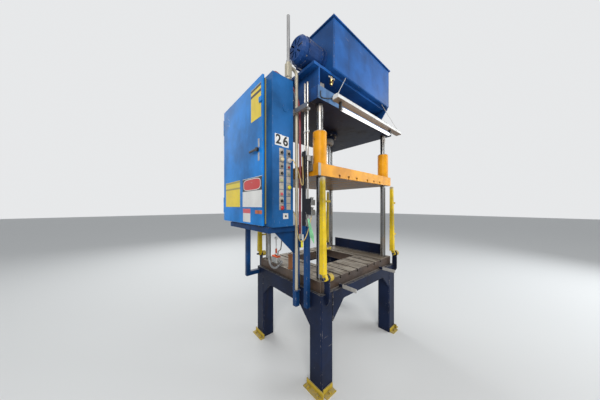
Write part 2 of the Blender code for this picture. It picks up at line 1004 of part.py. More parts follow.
def make_ram_rod():
    """The chromed ram with its foot flange on the platen and its piston."""
    foot = platen_top + seat_gap
    profile = [
        (0.0, piston_top),
        (cylinder_bore / 2 - slide_gap - 0.003, piston_top),
        (cylinder_bore / 2 - slide_gap, piston_top - 0.003),
        (cylinder_bore / 2 - slide_gap, piston_bottom),
        (ram_diameter / 2, piston_bottom),
        (ram_diameter / 2, foot + ram_flange_thickness),
        (ram_flange_diameter / 2, foot + ram_flange_thickness),
        (ram_flange_diameter / 2, foot),
        (0.0, foot),
    ]
    item = turned(profile, (base_mid_x, base_mid_y, 0.0), "+z")
    bolt_circle = (ram_diameter + ram_flange_diameter) / 4
    bolts = []
    for index in range(6):
        angle = math.radians(60 * index + 30)
        x = base_mid_x + bolt_circle * math.cos(angle)
        y = base_mid_y + bolt_circle * math.sin(angle)
        bolts.append(rod((x, y, foot + ram_flange_thickness - 0.001), 0.011, 0.010, "+z", 6))
    return finish(fuse(item, *bolts), "ram_rod", chrome_steel(), platen_carrier)


def make_main_cylinder():
    bore = cylinder_bore / 2
    profile = [
        (0.0, cylinder_top),
        (cylinder_radius - 0.004, cylinder_top),
        (cylinder_radius, cylinder_top - 0.004),
        (cylinder_radius, flange_top),
        (cylinder_flange_diameter / 2, flange_top),
        (cylinder_flange_diameter / 2, flange_bottom),
        (cylinder_radius, flange_bottom),
        (cylinder_radius, nose_bottom),
        (bore, nose_bottom),
        (bore, bore_top),
        (0.0, bore_top),
    ]
    item = turned(profile, (base_mid_x, base_mid_y, 0.0), "+z")
    return finish(item, "main_cylinder", base_blue())


def make_cylinder_gland():
    inner = ram_diameter / 2 + slide_gap
    outer = gland_diameter / 2
    bottom = gland_top - gland_height
    profile = [
        (inner, gland_top),
        (outer, gland_top),
        (outer, bottom + 0.020),
        (outer - 0.014, bottom),
        (inner, bottom),
    ]
    item = turned(profile, (base_mid_x, base_mid_y, 0.0), "+z", ring=True)
    return finish(item, "cylinder_gland", bare_steel())


def make_power_unit_deck():
    """The deck plate on its two upright brackets, the right one with a raked nose."""
    foot = crown_top + seat_gap
    deck = block((deck_left, deck_right), (deck_front, deck_rear), (deck_bottom, deck_top))
    lap = deck_bottom + deck_thickness * 0.6
    upright = deck_front + 0.002
    shapes = []
    for x, nose, foot_front in ((bracket_left_x, upright, upright),
                                (bracket_right_x, bracket_nose, bracket_foot_front)):
        outline = [
            (nose, lap),
            (deck_rear - 0.010, lap),
            (deck_rear - 0.010, foot + 0.040),
            (deck_rear - 0.060, foot + 0.004),
            (foot_front, foot + 0.004),
        ]
        shapes.append(plate(outline, x, x + bracket_plate, "x"))
    foot_y = (bracket_foot_front + 0.003, deck_rear - 0.064)
    shapes.append(block((bracket_right_x + 0.002 - bracket_foot_width, bracket_right_x + 0.002),
                        foot_y, (foot, foot + bracket_foot_height)))
    return finish(fuse(deck, *shapes), "power_unit_deck", tank_blue())


def make_oil_tank():
    tank = block((tank_left, tank_left + tank_width), (tank_front, tank_front + tank_depth),
                 (tank_bottom, tank_top), tank_edge_radius)
    return finish(tank, "oil_tank", tank_blue())


def make_tank_lid():
    """The bolted lid with its filler breather."""
    bottom = tank_top + seat_gap
    over = lid_overhang
    lid = block((tank_left - over, tank_left + tank_width + over),
                (tank_front - over, tank_front + tank_depth + over),
                (bottom, bottom + lid_thickness))
    top = bottom + lid_thickness
    radius = filler_diameter / 2
    profile = [
        (0.0, top + filler_height),
        (radius - 0.008, top + filler_height),
        (radius, top + filler_height - 0.008),
        (radius, top + 0.025),
        (radius * 0.6, top + 0.025),
        (radius * 0.6, top + 0.006),
        (radius * 0.9, top + 0.006),
        (radius * 0.9, top - 0.001),
        (0.0, top - 0.001),
    ]
    filler_x = tank_left + tank_width * 0.80
    filler_y = tank_front + tank_depth * 0.65
    filler = turned(profile, (filler_x, filler_y, 0.0), "+z", small_steps)
    return finish(fuse(lid, filler), "tank_lid", tank_blue())


def make_motor():
    """The motor frame with its tank flange, foot and terminal box."""
    radius = motor_diameter / 2
    flange = motor_flange_diameter / 2
    left = motor_flange_thickness + motor_length
    spigot = radius - fan_cover_inset - fan_cover_wall - seat_gap
    profile = [
        (0.0, left),
        (spigot, left),
        (spigot, left - fan_spigot_length),
        (radius, left - fan_spigot_length),
        (radius, motor_flange_thickness + 0.030),
        (radius * 0.90, motor_flange_thickness + 0.012),
        (radius * 0.90, motor_flange_thickness),
        (flange, motor_flange_thickness),
        (flange, 0.0),
        (0.0, 0.0),
    ]
    frame_body = turned(profile, (motor_right, motor_center_y, motor_z), "-x")
    foot_right = motor_right - motor_flange_thickness - 0.010
    foot = block((foot_right - motor_foot_length, foot_right),
                 (motor_center_y - motor_foot_width / 2, motor_center_y + motor_foot_width / 2),
                 (deck_top + seat_gap, deck_top + 0.014))
    web_x = (foot_right - motor_foot_length + 0.020, foot_right - 0.020)
    web = block(web_x, (motor_center_y - motor_foot_width * 0.34,
                        motor_center_y + motor_foot_width * 0.34),
                (deck_top + 0.010, motor_z - radius * 0.70))
    box_x = (motor_right - 0.150, motor_right - 0.150 + terminal_box_size)
    box_y = (motor_center_y + radius * 0.80, motor_center_y + radius + terminal_box_height * 0.6)
    box_z = (motor_z - terminal_box_size * 0.45, motor_z + terminal_box_size * 0.45)
    box = block(box_x, box_y, box_z, 0.006)
    return finish(fuse(frame_body, foot, web, box), "motor", motor_blue())


def make_fan_cover():
    """The fan cowl with its ring of air slots."""
    radius = motor_diameter / 2 - fan_cover_inset
    body_left = motor_right - motor_flange_thickness - motor_length
    start = body_left + fan_spigot_length - seat_gap
    wall = fan_cover_wall
    profile = [
        (0.0, fan_cover_length),
        (radius - 0.022, fan_cover_length),
        (radius, fan_cover_length - 0.022),
        (radius, 0.0),
        (radius - wall, 0.0),
        (radius - wall, fan_cover_length - 0.023),
        (radius - 0.023, fan_cover_length - wall),
        (0.0, fan_cover_length - wall),
    ]
    cover = turned(profile, (start, motor_center_y, motor_z), "-x")
    cutters = []
    for index in range(fan_slot_count):
        angle = 2 * math.pi * index / fan_slot_count
        slot = block((-fan_cover_length * 1.2, -fan_cover_length * 0.8),
                     (0.028, radius - 0.034), (-0.006, 0.006))
        place = Matrix.Translation((start, motor_center_y, motor_z))
        slot.data.transform(place @ Matrix.Rotation(angle, 4, "X"))
        cutters.append(slot)
    return finish(cut(cover, *cutters), "fan_cover", motor_blue())


def make_valve_manifold():
    """The directional valve block on the crown, with two solenoids."""
    bottom = crown_top + seat_gap
    block_top = bottom + manifold_height * 0.55
    right = manifold_x + manifold_width
    rear = manifold_y + manifold_depth
    body = block((manifold_x, right), (manifold_y, rear), (bottom, block_top), 0.003)
    valve_y = manifold_y + manifold_depth / 2
    valve = block((manifold_x + 0.045, right - 0.045), (valve_y - 0.024, valve_y + 0.024),
                  (block_top - 0.001, bottom + manifold_height), 0.003)
    axis_z = block_top + 0.026
    left_coil = rod((manifold_x + 0.046, valve_y, axis_z), solenoid_length,
                    solenoid_diameter / 2, "-x", small_steps)
    right_coil = rod((right - 0.046, valve_y, axis_z), solenoid_length,
                     solenoid_diameter / 2, "+x", small_steps)
    return finish(fuse(body, valve, left_coil, right_coil), "valve_manifold", bare_steel())


def make_pressure_pipe():
    """The pipe from the manifold to the port near the cylinder's top."""
    start_x = manifold_x + manifold_width / 2
    start_y = manifold_y + manifold_depth / 2
    start_z = crown_top + seat_gap + manifold_height + seat_gap
    turn_z = cylinder_top - pipe_top_below_cylinder_top
    end_x = base_mid_x - cylinder_radius - seat_gap
    corners = [
        (start_x, start_y, start_z),
        (start_x, start_y, turn_z),
        (start_x, base_mid_y, turn_z),
        (end_x, base_mid_y, turn_z),
    ]
    pipe = pipe_run(corners, pipe_radius, min(pipe_bend, abs(start_y - base_mid_y) / 2 - 0.001))
    return finish(pipe, "pressure_pipe", bare_steel())


def make_drain_valve():
    """The ball valve that hangs from the tank's drain under the deck."""
    top = deck_bottom - seat_gap
    middle = top - drain_drop / 2
    profile = [
        (0.0, top),
        (drain_pipe_radius, top),
        (drain_pipe_radius, middle + drain_body_length / 2),
        (drain_body_radius, middle + drain_body_length / 2 - 0.004),
        (drain_body_radius, middle - drain_body_length / 2 + 0.004),
        (drain_pipe_radius, middle - drain_body_length / 2),
        (drain_pipe_radius, top - drain_drop),
        (0.0, top - drain_drop),
    ]
    body = turned(profile, (drain_x, drain_y, 0.0), "+z", small_steps)
    stem = rod((drain_x, drain_y - drain_body_radius * 0.5, middle),
               drain_body_radius * 0.5 + 0.010, 0.008, "-y", small_steps)
    finish(fuse(body, stem), "drain_valve", brass())


def make_drain_lever():
    """The valve's lever, on a short hub in front of the stem."""
    hub_start = drain_y - drain_body_radius - 0.010 - seat_gap
    middle = deck_bottom - seat_gap - drain_drop / 2
    hub = rod((drain_x, hub_start, middle), 0.006, 0.009, "-y", small_steps)
    bar = block((drain_x - drain_lever_length, drain_x + 0.002),
                (hub_start - 0.004, hub_start - 0.0005), (middle - 0.007, middle + 0.007), 0.0012)
    finish(fuse(hub, bar), "drain_lever", bare_steel(), drain_carrier)


def operator_rows():
    """Name, column, row, kind and colour of every operator on the panel."""
    black = (0.015, 0.015, 0.016)
    return [
        ("mode_selector", "left", 0, "selector", black),
        ("cycle_start_button", "left", 1, "mushroom", (0.780, 0.700, 0.470)),
        ("jog_button", "left", 2, "button", black),
        ("pump_selector", "left", 3, "selector", black),
        ("heat_selector", "left", 7, "selector", black),
        ("emergency_stop_button", "left", 8, "mushroom", (0.620, 0.020, 0.040)),
        ("key_selector", "right", 0, "selector", black),
        ("stop_button", "right", 2, "button", (0.300, 0.010, 0.015)),
        ("inch_button", "right", 5, "mushroom", (0.820, 0.720, 0.020)),
        ("reset_button", "right", 6, "button", (0.300, 0.300, 0.290)),
    ]


def fixed_rows():
    """Column and row of the lamps, the receptacle and the legend plates."""
    return [
        ("lamp", "left", 4),
        ("legend", "left", 5),
        ("lamp", "left", 6),
        ("receptacle", "right", 1),
        ("lamp", "right", 3),
        ("legend", "right", 7),
        ("legend", "right", 8),
    ]


def row_place(column, row):
    x = column_left_x if column == "left" else column_right_x
    return x, row_top_z - row_pitch * row


def panel_bezel(x, z):
    """A bezel ring on the cabinet front, solid until the bores are cut."""
    start = (x, cabinet_front + 0.001, z)
    return rod(start, bezel_height + 0.001, bezel_radius, "-y", small_steps)


def panel_fixture(kind, x, z):
    """A lamp lens, legend plate or receptacle, which doesn't move."""
    face = cabinet_front
    if kind == "lamp":
        profile = [
            (0.0, 0.017),
            (0.007, 0.016),
            (0.011, 0.011),
            (0.011, 0.005),
            (bezel_radius, 0.005),
            (bezel_radius, -0.001),
            (0.0, -0.001),
        ]
        return turned(profile, (x, face, z), "-y", small_steps)
    if kind == "legend":
        half_width = legend_width / 2
        half_height = legend_height / 2
        return block((x - half_width, x + half_width), (face - legend_thickness, face + 0.001),
                     (z - half_height, z + half_height))
    body = rod((x, face + 0.001, z), receptacle_height + 0.001, receptacle_radius, "-y",
               small_steps)
    nose = rod((x, face - receptacle_height + 0.001, z), receptacle_nose_height + 0.001,
               receptacle_nose_radius, "-y", small_steps)
    return fuse(body, nose)


def make_cabinet():
    """The sheet-metal box with the collar that its door closes on, and the bezels."""
    wall = cabinet_wall
    box = block((cabinet_left, cabinet_right), (cabinet_front, cabinet_rear),
                (cabinet_bottom, cabinet_top), 0.003)
    room = block((cabinet_left + wall, cabinet_right - wall),
                 (cabinet_front + wall, cabinet_rear - wall),
                 (cabinet_bottom + wall, cabinet_top - wall))
    inset = collar_inset
    collar = block((collar_left, cabinet_left + wall / 2),
                   (door_front + inset, door_rear - inset), (door_bottom + inset, door_top - inset))
    inset = collar_inset + collar_wall
    mouth = block((collar_left - 0.010, cabinet_left + wall * 1.5),
                  (door_front + inset, door_rear - inset), (door_bottom + inset, door_top - inset))
    box = cut(fuse(cut(box, room), collar), mouth)
    shapes = []
    for kind, column, row in fixed_rows():
        shapes.append(panel_fixture(kind, *row_place(column, row)))
    bores = []
    for operator in operator_rows():
        x, z = row_place(operator[1], operator[2])
        shapes.append(panel_bezel(x, z))
        bores.append(rod((x, cabinet_front + 0.020, z), 0.050,
                         operator_bore_radius + turn_gap, "-y", small_steps))
    shapes.append(rod((cabinet_right - plug_from_right, cabinet_front + 0.001,
                       cabinet_top - plug_below_top), plug_height + 0.001, plug_radius, "-y"))
    for z in (door_bottom + hinge_height_inset, door_top - hinge_height_inset):
        for offset in (0, 2):
            low = z + (offset - 1.5) * hinge_knuckle_length + seat_gap
            high = low + hinge_knuckle_length - 2 * seat_gap
            knuckle = rod((hinge_x, hinge_y, low), high - low, hinge_radius, "+z", fine_steps)
            leaf = block((hinge_x, cabinet_left + 0.001), (hinge_y, hinge_y + hinge_radius * 0.9),
                         (low, high))
            shapes.append(fuse(knuckle, leaf))
    gland = rod((cabinet_right - 0.001, cabinet_front + side_entry_setback,
                 cabinet_bottom + side_entry_height), gland_length * 0.5, gland_radius, "+x",
                small_steps)
    top_gland = rod((cabinet_right - top_entry_from_right, cabinet_front + top_entry_setback,
                     cabinet_top - 0.001), gland_length, gland_radius, "+z", small_steps)
    bottom_gland = rod((cabinet_right - bottom_entry_from_right,
                        cabinet_front + bottom_entry_setback, cabinet_bottom + 0.001),
                       gland_length, bottom_entry_radius, "-z", small_steps)
    shapes.extend([gland, top_gland, bottom_gland])
    box = fuse(box, *shapes)
    box = cut(box, *bores)
    return finish(box, "cabinet", cabinet_blue())


def make_cabinet_door():
    """The door pan with its knuckles and the latch block on its front edge."""
    pan = block((door_outer, door_inner), (door_front, door_rear), (door_bottom, door_top), 0.003)
    hollow = block((door_outer + door_skin, door_inner + 0.010),
                   (door_front + door_skin, door_rear - door_skin),
                   (door_bottom + door_skin, door_top - door_skin))
    pan = cut(pan, hollow)
    shapes = []
    for z in (door_bottom + hinge_height_inset, door_top - hinge_height_inset):
        low = z - 0.5 * hinge_knuckle_length + seat_gap
        high = low + hinge_knuckle_length - 2 * seat_gap
        knuckle = rod((hinge_x, hinge_y, low), high - low, hinge_radius, "+z", fine_steps)
        leaf = block((hinge_x - hinge_radius * 0.5, hinge_x + hinge_radius * 0.5),
                     (door_rear - 0.002, hinge_y), (low, high))
        shapes.append(fuse(knuckle, leaf))
    latch_z = door_top - latch_block_drop
    half = latch_block_size / 2
    shapes.append(block((door_outer - 0.014, door_outer + 0.001),
                        (door_front, door_front + latch_block_size),
                        (latch_z - half, latch_z + half), 0.003))
    shapes.append(rod((door_outer + 0.001, handle_y, handle_z), 0.007, 0.024, "-x", small_steps))
    pan = fuse(pan, *shapes)
    bore = rod((door_outer + 0.010, handle_y, handle_z), 0.030, 0.0085 + turn_gap, "-x",
               small_steps)
    return finish(cut(pan, bore), "cabinet_door", cabinet_blue(), door_carrier)


def make_door_handle():
    """The lever handle on its hub, pivoting on an axis across the door."""
    face = door_outer - 0.006 - seat_gap
    spindle = rod((door_outer + 0.012, handle_y, handle_z), 0.022, 0.0085, "-x", small_steps)
    hub = rod((face, handle_y, handle_z), handle_hub_height, handle_hub_radius, "-x",
              small_steps)
    far = face - handle_hub_height
    bar = block((far, far + handle_thickness),
                (handle_y - 0.004, handle_y + handle_length - handle_hub_radius),
                (handle_z - 0.010, handle_z + 0.010), 0.004)
    return finish(fuse(spindle, hub, bar), "door_handle", black_plastic(), handle_carrier)


def make_mounting_panel():
    """The plate in the cabinet with rows of switchgear on it."""
    right = cabinet_right - cabinet_wall - panel_gap
    left = right - panel_thickness
    y = (cabinet_front + panel_margin, cabinet_rear - panel_margin)
    z = (cabinet_bottom + panel_margin, cabinet_top - panel_margin)
    back = block((left, right), y, z)
    shapes = []
    for stud_y in (y[0] + panel_stud_inset, y[1] - panel_stud_inset):
        for stud_z in (z[0] + panel_stud_inset, z[1] - panel_stud_inset):
            length = panel_gap - seat_gap + 0.001
            shapes.append(rod((right - 0.001, stud_y, stud_z), length, panel_stud_radius, "+x",
                              small_steps))
    width = y[1] - y[0]
    height = z[1] - z[0]
    for row, depth in enumerate(switchgear_depths):
        row_z = z[0] + height * (0.18 + 0.30 * row)
        count = 3 + row % 2
        for index in range(count):
            middle = y[0] + width * (index + 0.5) / count
            half = width / count * 0.36
            shapes.append(block((left - depth, left + 0.001), (middle - half, middle + half),
                                (row_z - switchgear_height / 2, row_z + switchgear_height / 2)))
    return finish(fuse(back, *shapes), "mounting_panel", white_enamel())


def make_operator(name, column, row, kind, colour):
    """One push button or selector, with a stem that runs in its bezel."""
    x, z = row_place(column, row)
    face = bezel_height
    stem_end = -0.018
    stem = operator_bore_radius
    lift = operator_travel + 0.0015
    if kind == "mushroom":
        profile = [
            (0.0, face + lift + 0.014),
            (mushroom_radius * 0.55, face + lift + 0.012),
            (mushroom_radius * 0.90, face + lift + 0.007),
            (mushroom_radius, face + lift + 0.002),
            (mushroom_radius * 0.92, face + lift),
            (stem, face + lift),
            (stem, stem_end),
            (0.0, stem_end),
        ]
        shape = turned(profile, (x, cabinet_front, z), "-y", small_steps)
    elif kind == "button":
        profile = [
            (0.0, face + 0.007),
            (stem - 0.001, face + 0.007),
            (stem, face + 0.006),
            (stem, stem_end),
            (0.0, stem_end),
        ]
        shape = turned(profile, (x, cabinet_front, z), "-y", small_steps)
    else:
        profile = [
            (0.0, face + 0.008),
            (knob_radius + 0.001, face + 0.008),
            (knob_radius + 0.001, face + turn_gap),
            (stem, face + turn_gap),
            (stem, stem_end),
            (0.0, stem_end),
        ]
        disc = turned(profile, (x, cabinet_front, z), "-y", small_steps)
        grip = block((x - 0.0035, x + 0.0035),
                     (cabinet_front - face - 0.019, cabinet_front - face - 0.007),
                     (z - knob_radius, z + knob_radius), 0.0012)
        shape = fuse(disc, grip)
    material = paint(name + "_colour", colour, 0.35)
    holder = carrier(name + "_axis", (x, cabinet_front, z))
    return finish(shape, name, material, holder)


def make_cabinet_stand():
    """The tube stand that carries the cabinet from the base's left side."""
    tube_x = (stand_right - stand_tube, stand_right)
    front_y = (stand_front_y, stand_front_y + stand_tube)
    rear_y = (stand_rear_y, stand_rear_y + stand_tube)
    rail_z = (stand_top - stand_tube, stand_top)
    inset = 0.001
    front_post = block(tube_x, front_y, (stand_foot_z, stand_top - 0.004), 0.004, "z")
    front_rail_y = (front_y[0] + inset, front_y[1] - inset)
    rear_rail_y = (rear_y[0] + inset, rear_y[1] - inset)
    rear_post_x = (stand_rear_x, stand_rear_x + stand_tube)
    foot_rail_z = (stand_rear_foot_z + inset, stand_rear_foot_z + stand_tube)
    shapes = [
        block((stand_left, tube_x[1] - inset), front_rail_y, rail_z),
        block(rear_post_x, rear_y, (stand_rear_foot_z, stand_top - 0.004), 0.004, "z"),
        block((stand_left, rear_post_x[1] - inset), rear_rail_y, rail_z),
        block((stand_left + inset, stand_left + stand_tube),
              (front_y[0] + 2 * inset, rear_y[1] - 2 * inset),
              (rail_z[0] + inset, rail_z[1] - inset)),
        block((rear_post_x[0] + inset, stand_right), rear_rail_y, foot_rail_z),
    ]
    brace = [
        (tube_x[0] + 0.001, rail_z[0] + 0.001),
        (tube_x[0] + 0.001, rail_z[0] - stand_brace_drop),
        (tube_x[0] - stand_brace_reach, rail_z[0] + 0.001),
    ]
    middle = stand_front_y + stand_tube / 2
    shapes.append(plate(brace, middle - stand_brace_plate / 2, middle + stand_brace_plate / 2, "y"))
    shelf_top = riser_bottom - seat_gap
    shapes.append(block((riser_x - conduit_radius - 0.006, tube_x[0] + 0.030),
                        (riser_y - conduit_radius - 0.006, stand_front_y + 0.002),
                        (shelf_top - riser_shelf_thickness, shelf_top)))
    hose_block_left = hose_block_x - hose_block_width / 2
    shapes.append(block((hose_block_left, hose_block_left + hose_block_width),
                        (hose_block_front, stand_front_y + 0.002),
                        (hose_block_top - hose_block_height, hose_block_top)))
    return finish(fuse(front_post, *shapes), "cabinet_stand", cabinet_blue())


def make_switch_post():
    """The post beside the base, with the rail that holds the switches."""
    right = -seat_gap
    left = right - switch_post_tube
    y_low = trip_rod_front_y - 0.005
    y_high = y_low + switch_post_tube
    top = trip_rod_foot - seat_gap
    post = block((left, right), (y_low, y_high), (switch_post_bottom, top - 0.002), 0.004, "z")
    cap_left = trip_rod_x - trip_rod_radius - 0.004
    cap = block((min(left, cap_left) - 0.002, right),
                (trip_rod_front_y - trip_rod_radius - 0.004,
                 trip_rod_rear_y + trip_rod_radius + 0.004),
                (top - switch_post_cap, top))
    rail_y = (trip_rod_front_y - 0.005, trip_rod_rear_y + 0.008)
    rail = block((switch_rail_left, switch_rail_right), rail_y,
                 (top - switch_rail_lap, switch_rail_top))
    spacer = block((switch_rail_left + 0.001, left + 0.002), (y_low + 0.008, y_high - 0.008),
                   (top - switch_rail_lap, top - switch_post_cap - 0.006))
    tab_low = switch_lower_z + 0.010
    tab_high = switch_upper_z + switch_body_height - 0.010
    tab = block((switch_rail_left, switch_rail_right),
                (switch_front_y() + 0.006, rail_y[0] + 0.001), (tab_low, tab_high))
    clip_top = switch_rail_top - cord_clip_below_top
    clip = block((switch_rail_left - cord_clip_depth, switch_rail_left + 0.001),
                 (rail_y[0] + 0.010, rail_y[0] + 0.010 + cord_clip_width),
                 (clip_top - cord_clip_height, clip_top))
    return finish(fuse(post, cap, rail, spacer, tab, clip), "switch_post", cabinet_blue())


def switch_front_y():
    """The switches stand clear in front of the trip block's path."""
    block_front = trip_rod_front_y - trip_rod_radius - slide_gap - 0.006
    return block_front - 0.007 - switch_body_depth


def make_limit_switch(name, bottom):
    """One limit switch body with its turret head."""
    left = switch_rail_right + seat_gap
    front = switch_front_y()
    body = block((left, left + switch_body_width), (front, front + switch_body_depth),
                 (bottom, bottom + switch_body_height - 0.020), 0.003)
    middle_x = left + switch_body_width / 2
    middle_y = front + switch_body_depth / 2
    head = rod((middle_x, middle_y, bottom + switch_body_height - 0.022), 0.022, 0.017, "+z",
               small_steps)
    return finish(fuse(body, head), name, bare_steel())


def make_rod_guide():
    """The strut on the cabinet's side, with the block that steadies the rods."""
    z_low = strut_z
    z_high = strut_z + strut_height
    wall = strut_wall
    channel = block((strut_left, strut_right), (strut_front, strut_rear), (z_low, z_high))
    room = block((strut_left + wall, strut_right - wall), (strut_front - 0.01, strut_rear + 0.01),
                 (z_low + wall, z_high - wall))
    mouth = block((strut_right - wall - 0.001, strut_right + 0.01),
                  (strut_front - 0.01, strut_rear + 0.01),
                  (z_low + strut_lip, z_high - strut_lip))
    channel = cut(channel, room, mouth)
    standoff = block((cabinet_right + seat_gap, strut_left + 0.001),
                     (strut_rear - 0.045, strut_rear - 0.005), (z_low + 0.004, z_high - 0.004))
    y_low = trip_rod_front_y - trip_rod_radius - 0.006
    y_high = trip_rod_rear_y + trip_rod_radius + 0.006
    guide = block((strut_left + wall - 0.001, trip_rod_x + trip_rod_radius + 0.006),
                  (y_low, y_high), (z_low + strut_lip + 0.001, z_high - strut_lip - 0.001))
    item = fuse(channel, standoff, guide)
    bores = []
    for y in (trip_rod_front_y, trip_rod_rear_y):
        bores.append(rod((trip_rod_x, y, z_low - 0.01), strut_height + 0.02,
                         trip_rod_radius + seat_gap, "+z", small_steps))
    return finish(cut(item, *bores), "rod_guide", bare_steel())


def make_trip_rods():
    for name, y in (("front", trip_rod_front_y), ("rear", trip_rod_rear_y)):
        profile = [
            (0.0, trip_rod_top),
            (trip_rod_radius, trip_rod_top),
            (trip_rod_radius, trip_rod_foot),
            (0.0, trip_rod_foot),
        ]
        item = turned(profile, (trip_rod_x, y, 0.0), "+z", small_steps)
        finish(item, "trip_rod_" + name, chrome_steel())


def make_trip_arm():
    """The block on the platen's left end that rides on the two rods."""
    y_low = trip_rod_front_y - trip_rod_radius - slide_gap - 0.006
    y_high = trip_rod_rear_y + trip_rod_radius + slide_gap + 0.006
    plate_right = platen_left - seat_gap
    plate_left = plate_right - trip_plate_thickness
    rider = block((trip_block_left, plate_left + 0.002), (y_low, y_high),
                  (trip_block_bottom, trip_block_bottom + trip_block_height), 0.003)
    upright = block((plate_left, plate_right), (y_low - 0.010, y_high + 0.010),
                    (trip_block_bottom - trip_plate_drop, trip_block_bottom + trip_block_height))
    item = fuse(rider, upright)
    bores = []
    for y in (trip_rod_front_y, trip_rod_rear_y):
        bores.append(rod((trip_rod_x, y, trip_block_bottom - 0.01), trip_block_height + 0.02,
                         trip_rod_radius + slide_gap, "+z", small_steps))
    return finish(cut(item, *bores), "trip_arm", bare_steel(), platen_carrier)


def make_safety_prop(place):
    """A tapered bar with a hinge lug, a chamfered tip and two lifting pegs."""
    left_edge, middle_y, pivot_y, outward = prop_side(place)
    shoulder_z = prop_pivot_z + prop_shoulder
    middle_x = left_edge + prop_width / 2
    bm = bmesh.new()
    height = prop_tip_z - shoulder_z
    lift = Matrix.Translation((middle_x, middle_y, shoulder_z + height / 2))
    across = prop_width - 2 * prop_lug_proud
    scale = Matrix.Diagonal((across, prop_width, height, 1.0))
    bmesh.ops.create_cube(bm, size=1.0, matrix=lift @ scale)
    inner_face = middle_y - outward * prop_width / 2
    for vert in bm.verts:
        if vert.co.z > shoulder_z + height / 2:
            vert.co.x = middle_x + (vert.co.x - middle_x) * prop_tip_width / prop_width
            vert.co.y = inner_face + (vert.co.y - inner_face) * prop_tip_width / prop_width
    upright = [edge for edge in bm.edges
               if abs(edge.verts[0].co.z - edge.verts[1].co.z) > height / 2]
    bmesh.ops.bevel(bm, geom=upright, offset=0.003, segments=1, profile=0.5, affect="EDGES")
    top = [edge for edge in bm.edges
           if min(edge.verts[0].co.z, edge.verts[1].co.z) > prop_tip_z - 0.001]
    bmesh.ops.bevel(bm, geom=top, offset=0.008, segments=1, profile=0.5, affect="EDGES")
    bar = adopt(bm)
    lug_right = left_edge + prop_width
    lug_left = lug_right - prop_lug_width
    lug_radius = prop_pin_radius + 0.011
    outline = [(middle_y - prop_width * 0.40, shoulder_z + 0.002),
               (middle_y + prop_width * 0.40, shoulder_z + 0.002)]
    for step in range(9):
        angle = math.pi * step / 8
        outline.append((pivot_y + lug_radius * math.cos(angle),
                        prop_pivot_z - lug_radius * math.sin(angle)))
    lug = plate(outline, lug_left, lug_right, "x")
    shapes = [lug]
    for z in (peg_upper_z, peg_lower_z):
        share = (z - shoulder_z) / height
        half = (prop_width + (prop_tip_width - prop_width) * share) / 2
        start_x = middle_x + half - prop_lug_proud
        peg_y = inner_face + outward * half
        profile = [
            (0.0, peg_length + peg_knob_radius),
            (peg_knob_radius * 0.7, peg_length + peg_knob_radius * 0.7),
            (peg_knob_radius, peg_length),
            (peg_knob_radius * 0.7, peg_length - peg_knob_radius * 0.7),
            (peg_radius, peg_length - peg_knob_radius),
            (peg_radius, peg_collar_length),
            (peg_collar_radius, peg_collar_length),
            (peg_collar_radius, -0.002),
            (0.0, -0.002),
        ]
        shapes.append(turned(profile, (start_x, peg_y, z), "+x", fine_steps))
    bar = fuse(bar, *shapes)
    bore = rod((lug_left - 0.010, pivot_y, prop_pivot_z), prop_lug_width + 0.020,
               prop_pin_radius + turn_gap, "+x", small_steps)
    holder = carrier("prop_axis_" + place, (middle_x, pivot_y, prop_pivot_z))
    return finish(cut(bar, bore), "safety_prop_" + place, prop_yellow(), holder)


def make_work_light():
    """The strip light in front of the crown, on two wire hangers."""
    right = light_left + light_length
    rear = light_front + light_depth
    top = light_bottom + light_height
    middle_y = light_front + light_depth / 2
    shoulder = light_bottom + light_shoulder
    outline = [
        (light_front, light_bottom),
        (rear, light_bottom),
        (rear, shoulder),
        (rear - light_slope, top),
        (light_front + light_slope, top),
        (light_front, shoulder),
    ]
    housing = plate(outline, light_left, right, "x")
    shapes = []
    half = lamp_holder_width / 2
    for start in (lamp_left - lamp_holder_length, lamp_left + lamp_length):
        shapes.append(block((start, start + lamp_holder_length), (middle_y - half, middle_y + half),
                            (light_bottom - lamp_drop - half, light_bottom + 0.002), 0.003))
    hook_y = tank_front + tank_edge_radius + 0.006
    for foot_x, direction in ((light_left + hanger_inset, 1), (right - hanger_inset, -1)):
        foot = Vector((foot_x, middle_y, top - 0.002))
        hook = Vector((foot_x + direction * hanger_spread, hook_y, tank_bottom - seat_gap))
        drop = Vector((0.0, 0.0, -0.010))
        shapes.append(tube([foot, foot - drop, hook + drop, hook], hanger_radius))
        tab = block((foot_x - 0.012, foot_x + 0.012), (middle_y - 0.010, middle_y + 0.010),
                    (top - 0.001, top + 0.006))
        shapes.append(tab)
    return finish(fuse(housing, *shapes), "work_light", white_enamel())


def make_lamp_tube():
    middle_y = light_front + light_depth / 2
    item = rod((lamp_left + seat_gap, middle_y, light_bottom - lamp_drop),
               lamp_length - 2 * seat_gap, lamp_radius, "+x", small_steps)
    return finish(item, "lamp_tube", white_enamel())


def make_side_guard():
    """The low chip guard between the right columns, folded at its foot."""
    right = base_width - bed_side_margin - guard_from_right + guard_thickness + 0.040
    left = right - guard_thickness
    y = (guard_front_inset, base_depth - guard_rear_inset)
    bottom = bed_top + seat_gap
    wall = block((left, right), y, (bottom, bottom + guard_height), 0.002)
    fold = block((left - 0.030, left + 0.001), y, (bottom, bottom + 0.004))
    return finish(fuse(wall, fold), "side_guard", base_blue())


